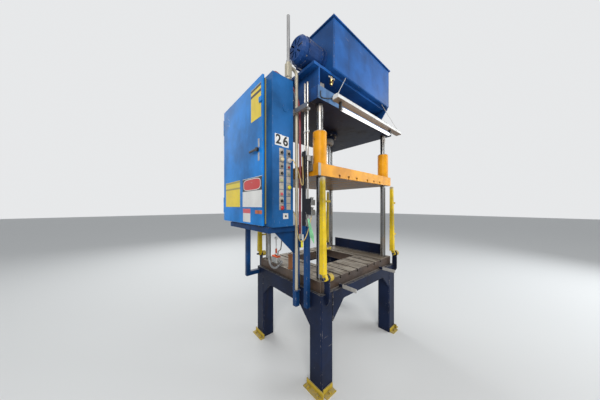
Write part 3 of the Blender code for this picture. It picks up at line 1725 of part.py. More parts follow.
def make_lever_valve():
    """The hand valve on the bed's left edge, with its lever's collar."""
    bottom = bed_top + seat_gap
    top = bottom + valve_height
    body = block((valve_x, valve_x + valve_width), (valve_y, valve_y + valve_length),
                 (bottom, top), 0.006)
    middle_x = valve_x + valve_width / 2
    middle_y = valve_y + valve_length / 2
    collar = rod((middle_x, middle_y, top - 0.001), valve_collar_height + 0.001,
                 valve_collar_radius, "+z", small_steps)
    port = rod((middle_x, valve_y + 0.002, bottom + valve_port_height),
               valve_port_reach + 0.002, valve_port_radius, "-y", small_steps)
    item = fuse(body, collar, port)
    fork = block((middle_x - lever_fork_radius - turn_gap - 0.001,
                  middle_x + lever_fork_radius + turn_gap + 0.001),
                 (middle_y - 0.030, middle_y + 0.030),
                 (top + valve_collar_height - valve_fork_depth, top + valve_collar_height + 0.010))
    return finish(cut(item, fork), "lever_valve", bare_steel())


def make_control_lever():
    """The valve's lever with its ball knob, on a cross axis in the collar."""
    middle_x = valve_x + valve_width / 2
    middle_y = valve_y + valve_length / 2
    pivot_z = lever_pivot_z()
    hub = rod((middle_x - lever_fork_radius, middle_y, pivot_z), 2 * lever_fork_radius,
              lever_fork_radius * 0.9, "+x", small_steps)
    shaft = rod((middle_x, middle_y, pivot_z), lever_length, lever_radius, "+z", small_steps)
    knob = ball((middle_x, middle_y, pivot_z + lever_length), lever_ball_radius)
    item = fuse(hub, shaft, knob)
    return finish(item, "control_lever", white_enamel(), lever_carrier)


def lever_pivot_z():
    collar_top = bed_top + seat_gap + valve_height + valve_collar_height
    return collar_top - valve_fork_depth + lever_fork_radius * 0.9 + seat_gap


def make_riser_conduit():
    """The conduit beside the cabinet, bent over to the entry body on top."""
    entry_right = entry_body_x + entry_body_width / 2
    corners = [
        (riser_x, riser_y, riser_bottom),
        (riser_x, riser_y, riser_turn_z),
        (entry_right + seat_gap, riser_y, riser_turn_z),
    ]
    item = pipe_run(corners, conduit_radius, riser_bend, 3)
    return finish(item, "riser_conduit", ivory_conduit())


def make_top_conduit():
    """The entry body on the cabinet's top, with the conduit that rises from it."""
    bottom = cabinet_top + seat_gap
    top = bottom + entry_body_height
    half = entry_body_width / 2
    body = block((entry_body_x - half, entry_body_x + half), (riser_y - half, riser_y + half),
                 (bottom + entry_hub_height - 0.002, top), 0.006)
    hub = rod((entry_body_x, riser_y, bottom), entry_hub_height, entry_hub_radius, "+z",
              small_steps)
    pipe = rod((entry_body_x, riser_y, top - 0.001), top_conduit_end - top + 0.001,
               conduit_radius, "+z", small_steps)
    collar = rod((entry_body_x, riser_y, top - 0.001), entry_collar_height + 0.001,
                 conduit_radius + entry_collar_wall, "+z", small_steps)
    return finish(fuse(body, hub, pipe, collar), "top_conduit", ivory_conduit())


def hose_route():
    """The maroon hose, from the cabinet's top gland to the block on the stand."""
    entry_x = cabinet_right - top_entry_from_right
    entry_y = cabinet_front + top_entry_setback
    return [
        (entry_x, entry_y, cabinet_top - 0.001 + gland_length + seat_gap),
        (entry_x, entry_y, 2.744),
        (entry_x, entry_y, 2.751),
        (-0.245, 0.316, 2.772),
        (-0.170, 0.322, 2.762),
        (-0.110, 0.318, 2.748),
        (-0.062, 0.304, 2.700),
        (-0.028, 0.278, 2.600),
        (-0.029, 0.248, 2.450),
        (-0.031, 0.240, 2.200),
        (-0.028, 0.239, 1.900),
        (-0.031, 0.240, 1.600),
        (-0.030, 0.240, 1.400),
        (hose_block_x, 0.240, 1.320),
        (hose_block_x, 0.240, hose_block_top + seat_gap),
    ]


def panel_cord_route():
    """The tan cord, from the panel's receptacle to the clip on the switch rail."""
    x, z = row_place("right", 1)
    return [
        (x, cabinet_front - receptacle_height - receptacle_nose_height - seat_gap, z),
        (x, cabinet_front - 0.042, z),
        (x, cabinet_front - 0.049, z),
        (x + 0.010, cabinet_front - 0.075, z - 0.022),
        (-0.118, 0.165, 1.905),
        (-0.100, 0.150, 1.815),
        (-0.085, 0.143, 1.775),
        (-0.073, 0.146, 1.800),
        (-0.0715, 0.152, 1.870),
        (-0.0725, 0.155, 1.950),
        (-0.0730, 0.155, 2.010),
        (-0.0730, 0.155, switch_rail_top - cord_clip_below_top - cord_clip_height - seat_gap),
    ]


def switch_cord_route():
    """The cord from the cabinet's side gland to the lower limit switch."""
    switch_x = switch_rail_right + seat_gap + switch_body_width * 0.4
    switch_y = switch_front_y() + switch_body_depth / 2
    start_x = cabinet_right - 0.001 + gland_length * 0.5 + seat_gap
    start_y = cabinet_front + side_entry_setback
    start_z = cabinet_bottom + side_entry_height
    return [
        (start_x, start_y, start_z),
        (start_x + 0.004, start_y, start_z),
        (start_x + 0.008, start_y, start_z),
        (-0.076, 0.250, 1.500),
        (-0.080, 0.222, 1.380),
        (-0.082, 0.190, 1.305),
        (-0.080, 0.150, 1.290),
        (-0.074, 0.115, 1.330),
        (-0.058, 0.092, 1.410),
        (switch_x, switch_y, 1.492),
        (switch_x, switch_y, 1.506),
        (switch_x, switch_y, switch_lower_z - seat_gap),
    ]


def flexible_route():
    """The flexible conduit from the cabinet's floor to the lever valve."""
    port_x = valve_x + valve_width / 2
    port_z = bed_top + seat_gap + valve_port_height
    entry_x = cabinet_right - bottom_entry_from_right
    entry_y = cabinet_front + bottom_entry_setback
    return [
        (entry_x, entry_y, cabinet_bottom + 0.001 - gland_length - seat_gap),
        (entry_x, entry_y, 1.390),
        (entry_x, entry_y, 1.370),
        (entry_x, entry_y, 1.250),
        (-0.248, 0.422, 1.130),
        (-0.215, 0.445, 1.045),
        (-0.140, 0.490, 0.990),
        (-0.050, 0.555, 0.980),
        (0.030, 0.615, 0.982),
        (port_x, 0.660, port_z),
        (port_x, 0.678, port_z),
        (port_x, valve_y - valve_port_reach - seat_gap, port_z),
    ]


def make_cords():
    tan = paint("tan_cord", (0.500, 0.360, 0.140), 0.55)
    maroon = paint("maroon_hose", (0.210, 0.020, 0.030), 0.45)
    grey = paint("grey_conduit", (0.330, 0.340, 0.350), 0.50)
    finish(tube(smooth_route(hose_route(), hose_spacing), hose_radius), "red_hose", maroon)
    finish(tube(smooth_route(panel_cord_route(), cord_spacing), cord_radius), "panel_cord", tan)
    finish(tube(smooth_route(switch_cord_route(), cord_spacing), cord_radius), "switch_cord", tan)
    finish(tube(smooth_route(flexible_route(), hose_spacing), flex_radius), "flexible_conduit", grey)


def centre_frame():
    """Put the frame's origin on the floor, under the middle of the press."""
    bpy.context.view_layer.update()
    corners = []
    for item in parts.objects:
        if item.type == "MESH":
            corners.extend(item.matrix_world @ vert.co for vert in item.data.vertices)
    low_x = min(corner.x for corner in corners)
    high_x = max(corner.x for corner in corners)
    low_y = min(corner.y for corner in corners)
    high_y = max(corner.y for corner in corners)
    frame.location = (-(low_x + high_x) / 2, -(low_y + high_y) / 2, 0.0)


clear_scene()
parts = new_collection("hydraulic_press")
frame = bpy.data.objects.new("press_frame", None)
parts.objects.link(frame)

platen_carrier = carrier("platen_axis", (base_mid_x, base_mid_y, platen_bottom))
door_carrier = carrier("door_axis", (hinge_x, hinge_y, (door_bottom + door_top) / 2))
handle_carrier = carrier("handle_axis", (door_outer, handle_y, handle_z))
drain_carrier = carrier("drain_axis", (drain_x, drain_y - drain_body_radius - 0.010,
                                       deck_bottom - seat_gap - drain_drop / 2))
lever_carrier = carrier("lever_axis", (valve_x + valve_width / 2, valve_y + valve_length / 2,
                                       lever_pivot_z()))

make_side_frame("side_frame_left", 0.0, -1)
make_side_frame("side_frame_right", base_width, 1)
make_cross_apron("apron_front", 0.0, -1, True)
make_cross_apron("apron_rear", base_depth, 1, False)
make_bed_plate()
make_columns()
make_crown()
make_platen()
make_ram_rod()
make_main_cylinder()
make_cylinder_gland()
make_power_unit_deck()
make_oil_tank()
make_tank_lid()
make_motor()
make_fan_cover()
make_valve_manifold()
make_pressure_pipe()
make_drain_valve()
make_drain_lever()
make_cabinet()
make_cabinet_door()
make_door_handle()
make_mounting_panel()
for operator_row in operator_rows():
    make_operator(*operator_row)
make_cabinet_stand()
make_switch_post()
make_limit_switch("limit_switch_upper", switch_upper_z)
make_limit_switch("limit_switch_lower", switch_lower_z)
make_rod_guide()
make_trip_rods()
make_trip_arm()
for prop_place in column_places():
    make_safety_prop(prop_place)
make_work_light()
make_lamp_tube()
make_side_guard()
make_lever_valve()
make_control_lever()
make_riser_conduit()
make_top_conduit()
make_cords()
centre_frame()
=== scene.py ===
"""The four-column hydraulic press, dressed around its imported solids.

Lengths are in metres. Places are given from the front left corner of the
base, x to the right, y to the back and z up, and at() moves them into the
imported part's own frame.
"""
import math

import bmesh
import bpy
from mathutils import Matrix, Vector


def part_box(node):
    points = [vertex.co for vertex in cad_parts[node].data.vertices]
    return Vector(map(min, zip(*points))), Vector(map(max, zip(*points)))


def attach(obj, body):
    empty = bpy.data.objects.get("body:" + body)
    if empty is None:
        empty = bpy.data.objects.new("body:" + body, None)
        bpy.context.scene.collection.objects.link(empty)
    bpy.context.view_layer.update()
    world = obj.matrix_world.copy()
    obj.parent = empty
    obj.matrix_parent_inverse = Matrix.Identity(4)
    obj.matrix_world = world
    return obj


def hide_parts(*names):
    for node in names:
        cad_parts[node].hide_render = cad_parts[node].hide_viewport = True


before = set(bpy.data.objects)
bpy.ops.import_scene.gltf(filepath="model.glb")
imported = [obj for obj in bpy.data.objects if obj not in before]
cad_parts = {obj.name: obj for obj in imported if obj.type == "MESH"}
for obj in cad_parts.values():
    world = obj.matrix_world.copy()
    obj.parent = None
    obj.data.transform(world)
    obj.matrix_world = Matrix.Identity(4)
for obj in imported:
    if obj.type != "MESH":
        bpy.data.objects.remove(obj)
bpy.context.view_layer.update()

base_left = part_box("crown")[0][0]
crown_front = 0.040
base_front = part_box("crown")[0][1] - crown_front
base_width = 1.40
base_depth = 1.11


def at(x, y, z):
    """A place measured from the base's front left corner."""
    return Vector((base_left + x, base_front + y, z))


def new_object(name, data):
    """An object at the origin, unturned, in the scene."""
    item = bpy.data.objects.new(name, data)
    bpy.context.scene.collection.objects.link(item)
    return item


# camera: level, at eye height, with a wide lens
eye_place = (-1.178, -1.094, 1.6)
sight_x, sight_y = 0.652, 0.758


def set_camera():
    lens = bpy.data.cameras.new("lens")
    lens.sensor_width = 36.0
    lens.lens = 11.46
    lens.shift_y = 0.010
    lens.clip_start = 0.02
    camera = new_object("camera", lens)
    camera.location = at(*eye_place)
    camera.rotation_euler = (math.radians(90.0), 0.0, math.atan2(-sight_x, sight_y))
    bpy.context.scene.camera = camera


set_camera()


# shader sums
class Val:
    """A shader socket that works in plain sums."""

    def __init__(self, finish, socket):
        self.finish = finish
        self.socket = socket

    def sum(self, operation, first, second, clamp=False):
        settings = {"operation": operation, "use_clamp": clamp}
        return self.finish.node("ShaderNodeMath", settings, {0: first, 1: second})

    def __add__(self, other):
        return self.sum("ADD", self, other)

    def __radd__(self, other):
        return self.sum("ADD", other, self)

    def __sub__(self, other):
        return self.sum("SUBTRACT", self, other)

    def __rsub__(self, other):
        return self.sum("SUBTRACT", other, self)

    def __mul__(self, other):
        return self.sum("MULTIPLY", self, other)

    def __rmul__(self, other):
        return self.sum("MULTIPLY", other, self)

    def __pow__(self, other):
        return self.sum("POWER", self, other)

    def over(self, limit):
        return self.sum("GREATER_THAN", self, limit)

    def under(self, limit):
        return self.sum("LESS_THAN", self, limit)

    def clamp(self):
        return self.sum("ADD", self, 0.0, clamp=True)

    def rise(self, low, high):
        """0 below low, 1 above high, and a smooth rise between."""
        settings = {"interpolation_type": "SMOOTHSTEP", "clamp": True}
        values = {"Value": self, "From Min": low, "From Max": high}
        return self.finish.node("ShaderNodeMapRange", settings, values)


class Finish:
    """One material and the nodes that make its colour, gloss and relief."""

    def __init__(self, name):
        self.material = bpy.data.materials.new(name)
        self.material.use_nodes = True
        self.tree = self.material.node_tree
        self.shader = self.tree.nodes["Principled BSDF"]
        self.place = self.node("ShaderNodeTexCoord", {}, {}, "Object")

    def node(self, kind, settings=None, values=None, output=0):
        made = self.tree.nodes.new(kind)
        for key, value in (settings or {}).items():
            setattr(made, key, value)
        for key, value in (values or {}).items():
            if isinstance(value, Val):
                self.tree.links.new(value.socket, made.inputs[key])
            else:
                made.inputs[key].default_value = value
        return Val(self, made.outputs[output])

    def noise(self, scale, detail=4.0, stretch=None, rough=0.55):
        place = self.place
        if stretch:
            place = self.node("ShaderNodeMapping", {}, {"Vector": place, "Scale": stretch})
        values = {"Vector": place, "Scale": scale, "Detail": detail, "Roughness": rough}
        return self.node("ShaderNodeTexNoise", {}, values, "Fac")

    def axis(self, name):
        """One coordinate of the surface, measured from the base's corner."""
        split = self.node("ShaderNodeSeparateXYZ", {}, {0: self.place}, name.upper())
        start = {"x": base_left, "y": base_front, "z": 0.0}[name]
        return split - start if start else split

    def within(self, name, low, high, soft=0.0005):
        value = self.axis(name)
        return value.rise(low - soft, low + soft) * (1.0 - value.rise(high - soft, high + soft))

    def boxed(self, x=None, y=None, z=None, soft=0.0005):
        """1 inside a box, and 0 outside it."""
        mask = None
        for name, span in (("x", x), ("y", y), ("z", z)):
            if span is not None:
                part = self.within(name, span[0], span[1], soft)
                mask = part if mask is None else mask * part
        return mask

    def normal(self):
        return self.node("ShaderNodeNewGeometry", {}, {}, "Normal")

    def match(self, first, second):
        """1 where two directions are the same."""
        values = {0: first, 1: second}
        return self.node("ShaderNodeVectorMath", {"operation": "DOT_PRODUCT"}, values, "Value")

    def facing(self, axis):
        """How far the surface faces along a direction, 0 to 1."""
        return self.match(self.normal(), axis).clamp()

    def edges(self, radius):
        """1 along the outer edges, from how far a rounded normal turns away."""
        rounded = self.node("ShaderNodeBevel", {"samples": 4}, {"Radius": radius})
        turned_away = 1.0 - self.match(rounded, self.normal())
        return turned_away.rise(0.015, 0.06)

    def corners(self, reach):
        """1 in the inner corners, from ambient occlusion: where shade falls, used to paint shade
        there.
        """
        light = self.node("ShaderNodeAmbientOcclusion", {"samples": 4}, {"Distance": reach}, "AO")
        return 1.0 - light

    def blend(self, mask, under, over):
        """A colour that goes from one to another with a mask."""
        under, over = (colour if isinstance(colour, Val) else (*colour, 1.0)
                       for colour in (under, over))
        values = {0: mask, 6: under, 7: over}
        return self.node("ShaderNodeMix", {"data_type": "RGBA"}, values, 2)

    def lay_over(self, body, overlays):
        """The body colour with each overlay's shade where its mask is 1."""
        for mask_maker, shade in overlays:
            body = self.blend(mask_maker(self), body, shade)
        return body

    def give(self, socket, value):
        if isinstance(value, Val):
            self.tree.links.new(value.socket, self.shader.inputs[socket])
        else:
            if socket.endswith("Color") and len(value) == 3:
                value = (*value, 1.0)
            self.shader.inputs[socket].default_value = value

    def relief(self, height, distance, strength):
        values = {"Height": height, "Distance": distance, "Strength": strength}
        bump = self.node("ShaderNodeBump", {}, values)
        self.tree.links.new(bump.socket, self.shader.inputs["Normal"])


def mixed(mask, low, high):
    """A number that goes from low to high with a mask."""
    return mask * (high - low) + low


def toned(colour, factor, lift=0.0):
    return tuple(min(1.0, part * factor + lift) for part in colour)


# finishes
upwards = (0.0, 0.0, 1.0)
downwards = (0.0, 0.0, -1.0)
steel_bare = (0.40, 0.39, 0.37)
rust_brown = (0.105, 0.045, 0.020)
# dark colour for grime, and for painted shade in inner corners
grime_and_shade_colour = (0.018, 0.014, 0.011)
shop_dust = (0.30, 0.28, 0.25)
plate_white = (0.780, 0.780, 0.760)


def shop_paint(name, colour, worn, grime_and_shade_amount, gloss, dust_amount=0.25, overlays=()):
    """Brushed shop enamel: uneven colour, oily smears in patches and runs, painted shade in the
    inner corners, chips along the edges and scattered scratches."""
    finish = Finish(name)
    mottle = finish.noise(2.6, 5.0)
    speck = finish.noise(38.0, 4.0)
    runs = finish.noise(9.0, 4.0, stretch=(1.0, 1.0, 0.10))
    body = finish.blend(mottle.rise(0.32, 0.68), toned(colour, 0.62), toned(colour, 1.20, 0.002))
    body = finish.lay_over(body, overlays)
    dusty = (finish.facing(upwards) * speck.rise(0.30, 0.62) * dust_amount * 2.0).clamp()
    body = finish.blend(dusty, body, shop_dust)
    # painted shade: the inner corners, found by ambient occlusion, go dark with the grime colour
    corner = finish.corners(0.060)
    patches = (finish.noise(6.5, 6.0, rough=0.62).rise(0.50, 0.72) * 0.55
               + runs.rise(0.54, 0.74) * 0.75 + corner * corner * 1.4)
    grime_and_shade = (patches * grime_and_shade_amount).clamp()
    body = finish.blend(grime_and_shade, body, grime_and_shade_colour)
    edge = finish.edges(0.0045)
    chipped = edge * finish.noise(26.0, 5.0, rough=0.68).rise(0.60 - worn * 0.25,
                                                              0.66 - worn * 0.22)
    flakes = finish.noise(17.0, 6.0, rough=0.72).over(0.735 - worn * 0.06)
    scratches = finish.noise(60.0, 2.0, stretch=(0.05, 1.0, 1.0)).over(0.745 - worn * 0.05)
    scratches = scratches * finish.noise(3.5, 2.0).over(0.52)
    bare = (chipped + flakes * 0.9 + scratches * 0.5).clamp()
    rusty = finish.noise(70.0, 3.0).rise(0.42, 0.60)
    metal = finish.blend(rusty * 0.7, steel_bare, rust_brown)
    body = finish.blend(bare, body, metal)
    finish.give("Base Color", body)
    rough = mixed(mottle, gloss - 0.06, gloss + 0.10)
    finish.give("Roughness", (rough + grime_and_shade * 0.22 + dusty * 0.25 + bare * 0.12).clamp())
    finish.give("Metallic", bare * 0.55)
    finish.give("Specular IOR Level", 0.14)
    orange_peel = finish.noise(240.0, 2.0) * 0.05
    finish.relief(orange_peel - bare * 0.5 + speck * 0.06, 0.0006, 0.6)
    return finish.material


def turned_steel(name, colour, rough, oily):
    """Ground steel with fine machining lines and a film of old oil."""
    finish = Finish(name)
    lines = finish.noise(60.0, 3.0, stretch=(1.0, 1.0, 30.0))
    film = finish.noise(5.0, 5.0, rough=0.6).rise(0.46, 0.72) * oily
    body = finish.blend(lines, toned(colour, 0.82), colour)
    body = finish.blend(film, body, (0.20, 0.13, 0.07))
    finish.give("Base Color", body)
    finish.give("Metallic", (1.0 - film * 0.7).clamp())
    finish.give("Roughness", (mixed(lines, rough * 0.7, rough * 1.5) + film * 0.35).clamp())
    finish.relief(lines, 0.0002, 0.5)
    return finish.material


def worn_plate(name):
    """The oily, scraped top of the bed: dull steel with brown stains."""
    finish = Finish(name)
    broad = finish.noise(3.2, 6.0, rough=0.62)
    stains = finish.noise(11.0, 5.0, rough=0.66).rise(0.42, 0.66)
    scrapes = finish.noise(42.0, 3.0, stretch=(1.0, 0.06, 1.0))
    top = finish.facing(upwards).rise(0.5, 0.9)
    pale = finish.blend(scrapes.rise(0.40, 0.66), (0.170, 0.135, 0.095),
                        (0.400, 0.345, 0.265))
    brown = finish.blend(broad.rise(0.36, 0.62), (0.032, 0.018, 0.012),
                         (0.078, 0.046, 0.028))
    face = finish.blend(stains * 0.55, pale, brown)
    body = finish.blend(top, brown, face)
    # painted shade: the inner corners go dark, from ambient occlusion
    corner = finish.corners(0.040)
    body = finish.blend((corner * 1.3).clamp() * 0.85, body, grime_and_shade_colour)
    edge = finish.edges(0.004)
    body = finish.blend(edge * 0.35, body, (0.46, 0.43, 0.38))
    finish.give("Base Color", body)
    finish.give("Metallic", (top * 0.45 + edge * 0.3).clamp())
    finish.give("Roughness", (mixed(stains, 0.38, 0.62) + corner * 0.2).clamp())
    finish.relief(scrapes * 0.4 + broad * 0.6, 0.0010, 0.7)
    return finish.material


def rubber(name, colour, rough=0.55):
    """Moulded rubber or plastic sheath, with dust and scuffs."""
    finish = Finish(name)
    mottle = finish.noise(14.0, 5.0)
    scuff = finish.noise(90.0, 3.0).rise(0.55, 0.75)
    body = finish.blend(mottle.rise(0.3, 0.7), toned(colour, 0.65), toned(colour, 1.25, 0.01))
    body = finish.blend(scuff * 0.35, body, (0.35, 0.33, 0.30))
    finish.give("Base Color", body)
    finish.give("Roughness", mixed(mottle, rough - 0.08, rough + 0.12))
    finish.relief(scuff, 0.0002, 0.4)
    return finish.material


def plastic(name, colour, rough=0.32):
    """Moulded cap or knob with finger marks, a little wear and painted shade in its corners."""
    finish = Finish(name)
    marks = finish.noise(120.0, 4.0)
    body = finish.blend(marks.rise(0.35, 0.7), toned(colour, 0.78), colour)
    # painted shade: the inner corners go dark, from ambient occlusion
    dirt_and_shade = finish.corners(0.008)
    body = finish.blend((dirt_and_shade * 1.2).clamp() * 0.7, body, grime_and_shade_colour)
    finish.give("Base Color", body)
    finish.give("Roughness", mixed(marks, rough - 0.06, rough + 0.16))
    finish.relief(marks, 0.00015, 0.4)
    return finish.material


def cast_metal(name, colour, metallic=0.9, rough=0.42, dirt_and_shade=0.5, overlays=()):
    """Bare castings, fittings and pressed parts, dulled by dark patches and by painted shade in
    their corners.
    """
    finish = Finish(name)
    grain = finish.noise(85.0, 4.0)
    patches = finish.noise(9.0, 5.0).rise(0.40, 0.70)
    corner = finish.corners(0.020)
    body = finish.lay_over(finish.blend(grain, toned(colour, 0.75), colour), overlays)
    # dark brown for dirt patches, and painted shade in the corners from ambient occlusion
    body = finish.blend((patches * 0.5 + corner).clamp() * dirt_and_shade, body, (0.045, 0.035, 0.028))
    finish.give("Base Color", body)
    finish.give("Metallic", (metallic - patches * dirt_and_shade * 0.4).clamp())
    finish.give("Roughness",
                (mixed(grain, rough - 0.08, rough + 0.14) + patches * 0.12).clamp())
    finish.relief(grain, 0.0005, 0.5)
    return finish.material


def printed_plate(name, colour, bands=(), ovals=()):
    """A thin printed plate with plain bands and ovals, faded and scuffed."""
    finish = Finish(name)
    body = finish.blend(finish.noise(7.0, 3.0).rise(0.35, 0.70), toned(colour, 0.90), colour)
    for axis, low, high, shade in bands:
        body = finish.blend(finish.within(axis, low, high, 0.0006), body, shade)
    for centre_y, centre_z, half_width, half_height, shade in ovals:
        across = (finish.axis("y") - centre_y) * (1.0 / half_width)
        up = (finish.axis("z") - centre_z) * (1.0 / half_height)
        body = finish.blend(1.0 - (across ** 4.0 + up ** 4.0).rise(0.97, 1.03), body, shade)
    streaks = finish.noise(5.0, 6.0, stretch=(1.0, 1.0, 0.30), rough=0.65)
    smear = streaks.rise(0.55, 0.80)
    body = finish.blend(smear * 0.30, body, (0.120, 0.105, 0.080))
    scuff = finish.noise(48.0, 4.0, stretch=(1.0, 0.25, 1.0)).rise(0.66, 0.72)
    body = finish.blend(scuff * 0.45, body, (0.420, 0.410, 0.390))
    finish.give("Base Color", body)
    finish.give("Roughness", mixed(smear, 0.30, 0.55))
    finish.relief(scuff, 0.0002, 0.4)
    return finish.material


def lit_tube(name):
    """A lit lamp tube: pale glass with an even glow."""
    finish = Finish(name)
    finish.give("Base Color", (0.900, 0.920, 0.950))
    finish.give("Roughness", 0.25)
    finish.give("Emission Color", (0.960, 0.980, 1.000))
    finish.give("Emission Strength", 1.1)
    return finish.material


def dress(node, material):
    """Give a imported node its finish."""
    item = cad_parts[node]
    if not item.data.materials:
        item.data.materials.append(material)
    for index in range(len(item.data.materials)):
        item.data.materials[index] = material


def turned_to(axis, low, amount):
    """A mask for the faces that look along a direction."""
    return lambda finish: finish.facing(axis).rise(low, low + 0.40) * amount


def above(height):
    return lambda finish: finish.axis("z").over(height)


def leg_details(finish):
    """The yellow anchor angles, under 52 mm and outside the legs' faces."""
    low = 1.0 - finish.axis("z").rise(0.0510, 0.0520)
    inside_x = finish.within("x", -0.0005, base_width + 0.0005, 0.0003)
    inside_y = finish.within("y", -0.0005, base_depth + 0.0005, 0.0003)
    return low * (1.0 - inside_x * inside_y)


def prop_boss(finish):
    """The yellow boss that the prop turns on, ahead of and behind the legs."""
    high = finish.axis("z").rise(0.945, 0.950)
    left = finish.within("x", 0.0674, 0.14)
    right = finish.axis("x").over(base_width - 0.0126)
    return high * (left + right).clamp()


def bare_arms(finish):
    """The bare steel arms that stand out in front of the bed."""
    front = finish.boxed(y=(-0.20, -0.003), z=(0.8330, 0.90))
    return front * finish.within("x", 0.20, 1.15)


def collar_shadow_gap(finish):
    """Painted shadow: black on the collar, deep in the gap that the door closes on."""
    return finish.boxed(x=(-0.3600, -0.3430), y=(0.30, 1.24))


def door_gasket(finish):
    """The olive gasket behind the sealing lip."""
    return finish.boxed(x=(-0.3430, -0.3300), y=(0.30, 1.24))


def chipped_foot(finish):
    """Chips down to the pale undercoat along the cabinet's lower edge."""
    chips = finish.noise(55.0, 4.0, rough=0.7).over(0.640)
    return chips * finish.boxed(y=(0.20, 0.2465), z=(1.415, 1.480), soft=0.002)


def front_fittings(finish):
    """The plated bezels on the front, ahead of the paint."""
    return finish.boxed(x=(-0.262, -0.133), y=(0.150, 0.2446), z=(1.560, 2.090))


def lens_at(x, z, reach):
    """A mask for one lamp or receptacle on the cabinet's front."""
    across, up = (x - reach, x + reach), (z - reach, z + reach)
    return lambda finish: finish.boxed(x=across, y=(0.150, 0.2402), z=up)


def plated_glands(finish):
    """The plated glands on the cabinet's top, side and bottom."""
    top = finish.axis("z").over(2.7203)
    bottom = finish.axis("z").under(1.4198)
    side = finish.axis("x").over(-0.1048)
    return (top + bottom + side).clamp()


def platen_bare_corner(finish):
    """The corner that has lost its paint."""
    return finish.boxed(x=(0.0, 0.042), y=(0.02, 0.0490), z=(1.860, 1.980))


def prop_tip(finish):
    """The bare tip that meets the platen."""
    return finish.axis("z").rise(1.800, 1.846) * 0.8


def prop_collars(finish):
    """The black collars at the foot of the lifting pegs."""
    upper = finish.within("z", 1.6235, 1.6565)
    lower = finish.within("z", 1.2135, 1.2465)
    left = (finish.within("x", 0.0510, 0.0600) * upper
            + finish.within("x", 0.0540, 0.0636) * lower)
    right = (finish.within("x", 1.3712, 1.3802) * upper
             + finish.within("x", 1.3742, 1.3838) * lower)
    return (left + right).clamp()


def chipped_door(finish):
    """Chips at the door's upper rear corner."""
    chips = finish.noise(48.0, 4.0, rough=0.7).over(0.600)
    return chips * finish.boxed(y=(1.050, 1.150), z=(2.500, 2.620), soft=0.010)


def post_rail(finish):
    """The dark rail that makes up the post's upper part."""
    return finish.axis("y").under(0.200) * finish.axis("z").over(1.425)


def light_underside(finish):
    """Rust brown on the downward faces of the work light's housing and below 2.503 m."""
    under = finish.facing(downwards).rise(0.40, 0.80)
    return (under + finish.axis("z").under(2.503)).clamp() * 0.85


def switchgear_boxes(finish):
    """The switchgear, which stands out from the white plate."""
    return finish.axis("x").under(-0.1284)


# name, colour, wear, grime with painted corner shade, and gloss, and the masks with a colour of
# their own, some of which paint shade or light
foot_yellow = (0.560, 0.400, 0.045)
# painted shade on downward faces and on the tank's left side, painted light on the crown's front
crown_underside_shade = turned_to(downwards, 0.40, 0.85)
platen_underside_shade = turned_to(downwards, 0.40, 0.88)
crown_front_painted_light = turned_to((0.0, -1.0, 0.0), 0.50, 0.60)
tank_left_side_shade = turned_to((-1.0, 0.0, 0.0), 0.50, 0.55)
navy_paint = shop_paint("navy_base_paint", (0.005, 0.012, 0.040), 0.30, 0.55, 0.42,
                        overlays=((leg_details, foot_yellow), (prop_boss, foot_yellow),
                                  (bare_arms, steel_bare)))
cabinet_paint = shop_paint("cabinet_blue_paint", (0.016, 0.120, 0.345), 0.12, 0.16, 0.30,
                           # the first overlay is painted shadow in the door's gap
                           overlays=((collar_shadow_gap, (0.012, 0.012, 0.012)),
                                     (door_gasket, (0.330, 0.300, 0.110)),
                                     (chipped_foot, (0.520, 0.560, 0.600)),
                                     (front_fittings, (0.470, 0.440, 0.370)),
                                     (lens_at(-0.235, 1.8198, 0.0125), (0.480, 0.500, 0.260)),
                                     (lens_at(-0.235, 1.7022, 0.0125), (0.620, 0.110, 0.130)),
                                     (lens_at(-0.160, 1.8786, 0.0125), (0.300, 0.320, 0.240)),
                                     (lens_at(-0.160, 1.9962, 0.0230), (0.640, 0.600, 0.560)),
                                     (plated_glands, (0.420, 0.410, 0.390))))
door_paint = shop_paint("door_blue_paint", (0.012, 0.215, 0.640), 0.12, 0.14, 0.30, 0.10,
                        [(chipped_door, (0.560, 0.620, 0.680))])
stand_paint = shop_paint("stand_blue_paint", (0.006, 0.048, 0.160), 0.30, 0.50, 0.38,
                         overlays=[(post_rail, (0.028, 0.031, 0.036))])
# painted shade on the tank's left side
tank_paint = shop_paint("tank_blue_paint", (0.014, 0.105, 0.360), 0.12, 0.28, 0.34, 0.30,
                        [(above(3.3050), (0.090, 0.090, 0.092)),
                         (tank_left_side_shade, (0.008, 0.038, 0.130))])
switchgear_paint = shop_paint("switchgear_paint", (0.680, 0.680, 0.650), 0.05, 0.15, 0.40,
                              overlays=[(switchgear_boxes, (0.070, 0.072, 0.075))])
# painted shade under the crown and painted light on its front face
crown_paint = shop_paint("crown_blue_paint", (0.012, 0.070, 0.240), 0.30, 0.60, 0.40,
                         overlays=[(crown_underside_shade, (0.013, 0.010, 0.008)),
                                   (crown_front_painted_light, (0.150, 0.290, 0.500))])
motor_paint = shop_paint("motor_blue_paint", (0.010, 0.055, 0.210), 0.12, 0.35, 0.36)
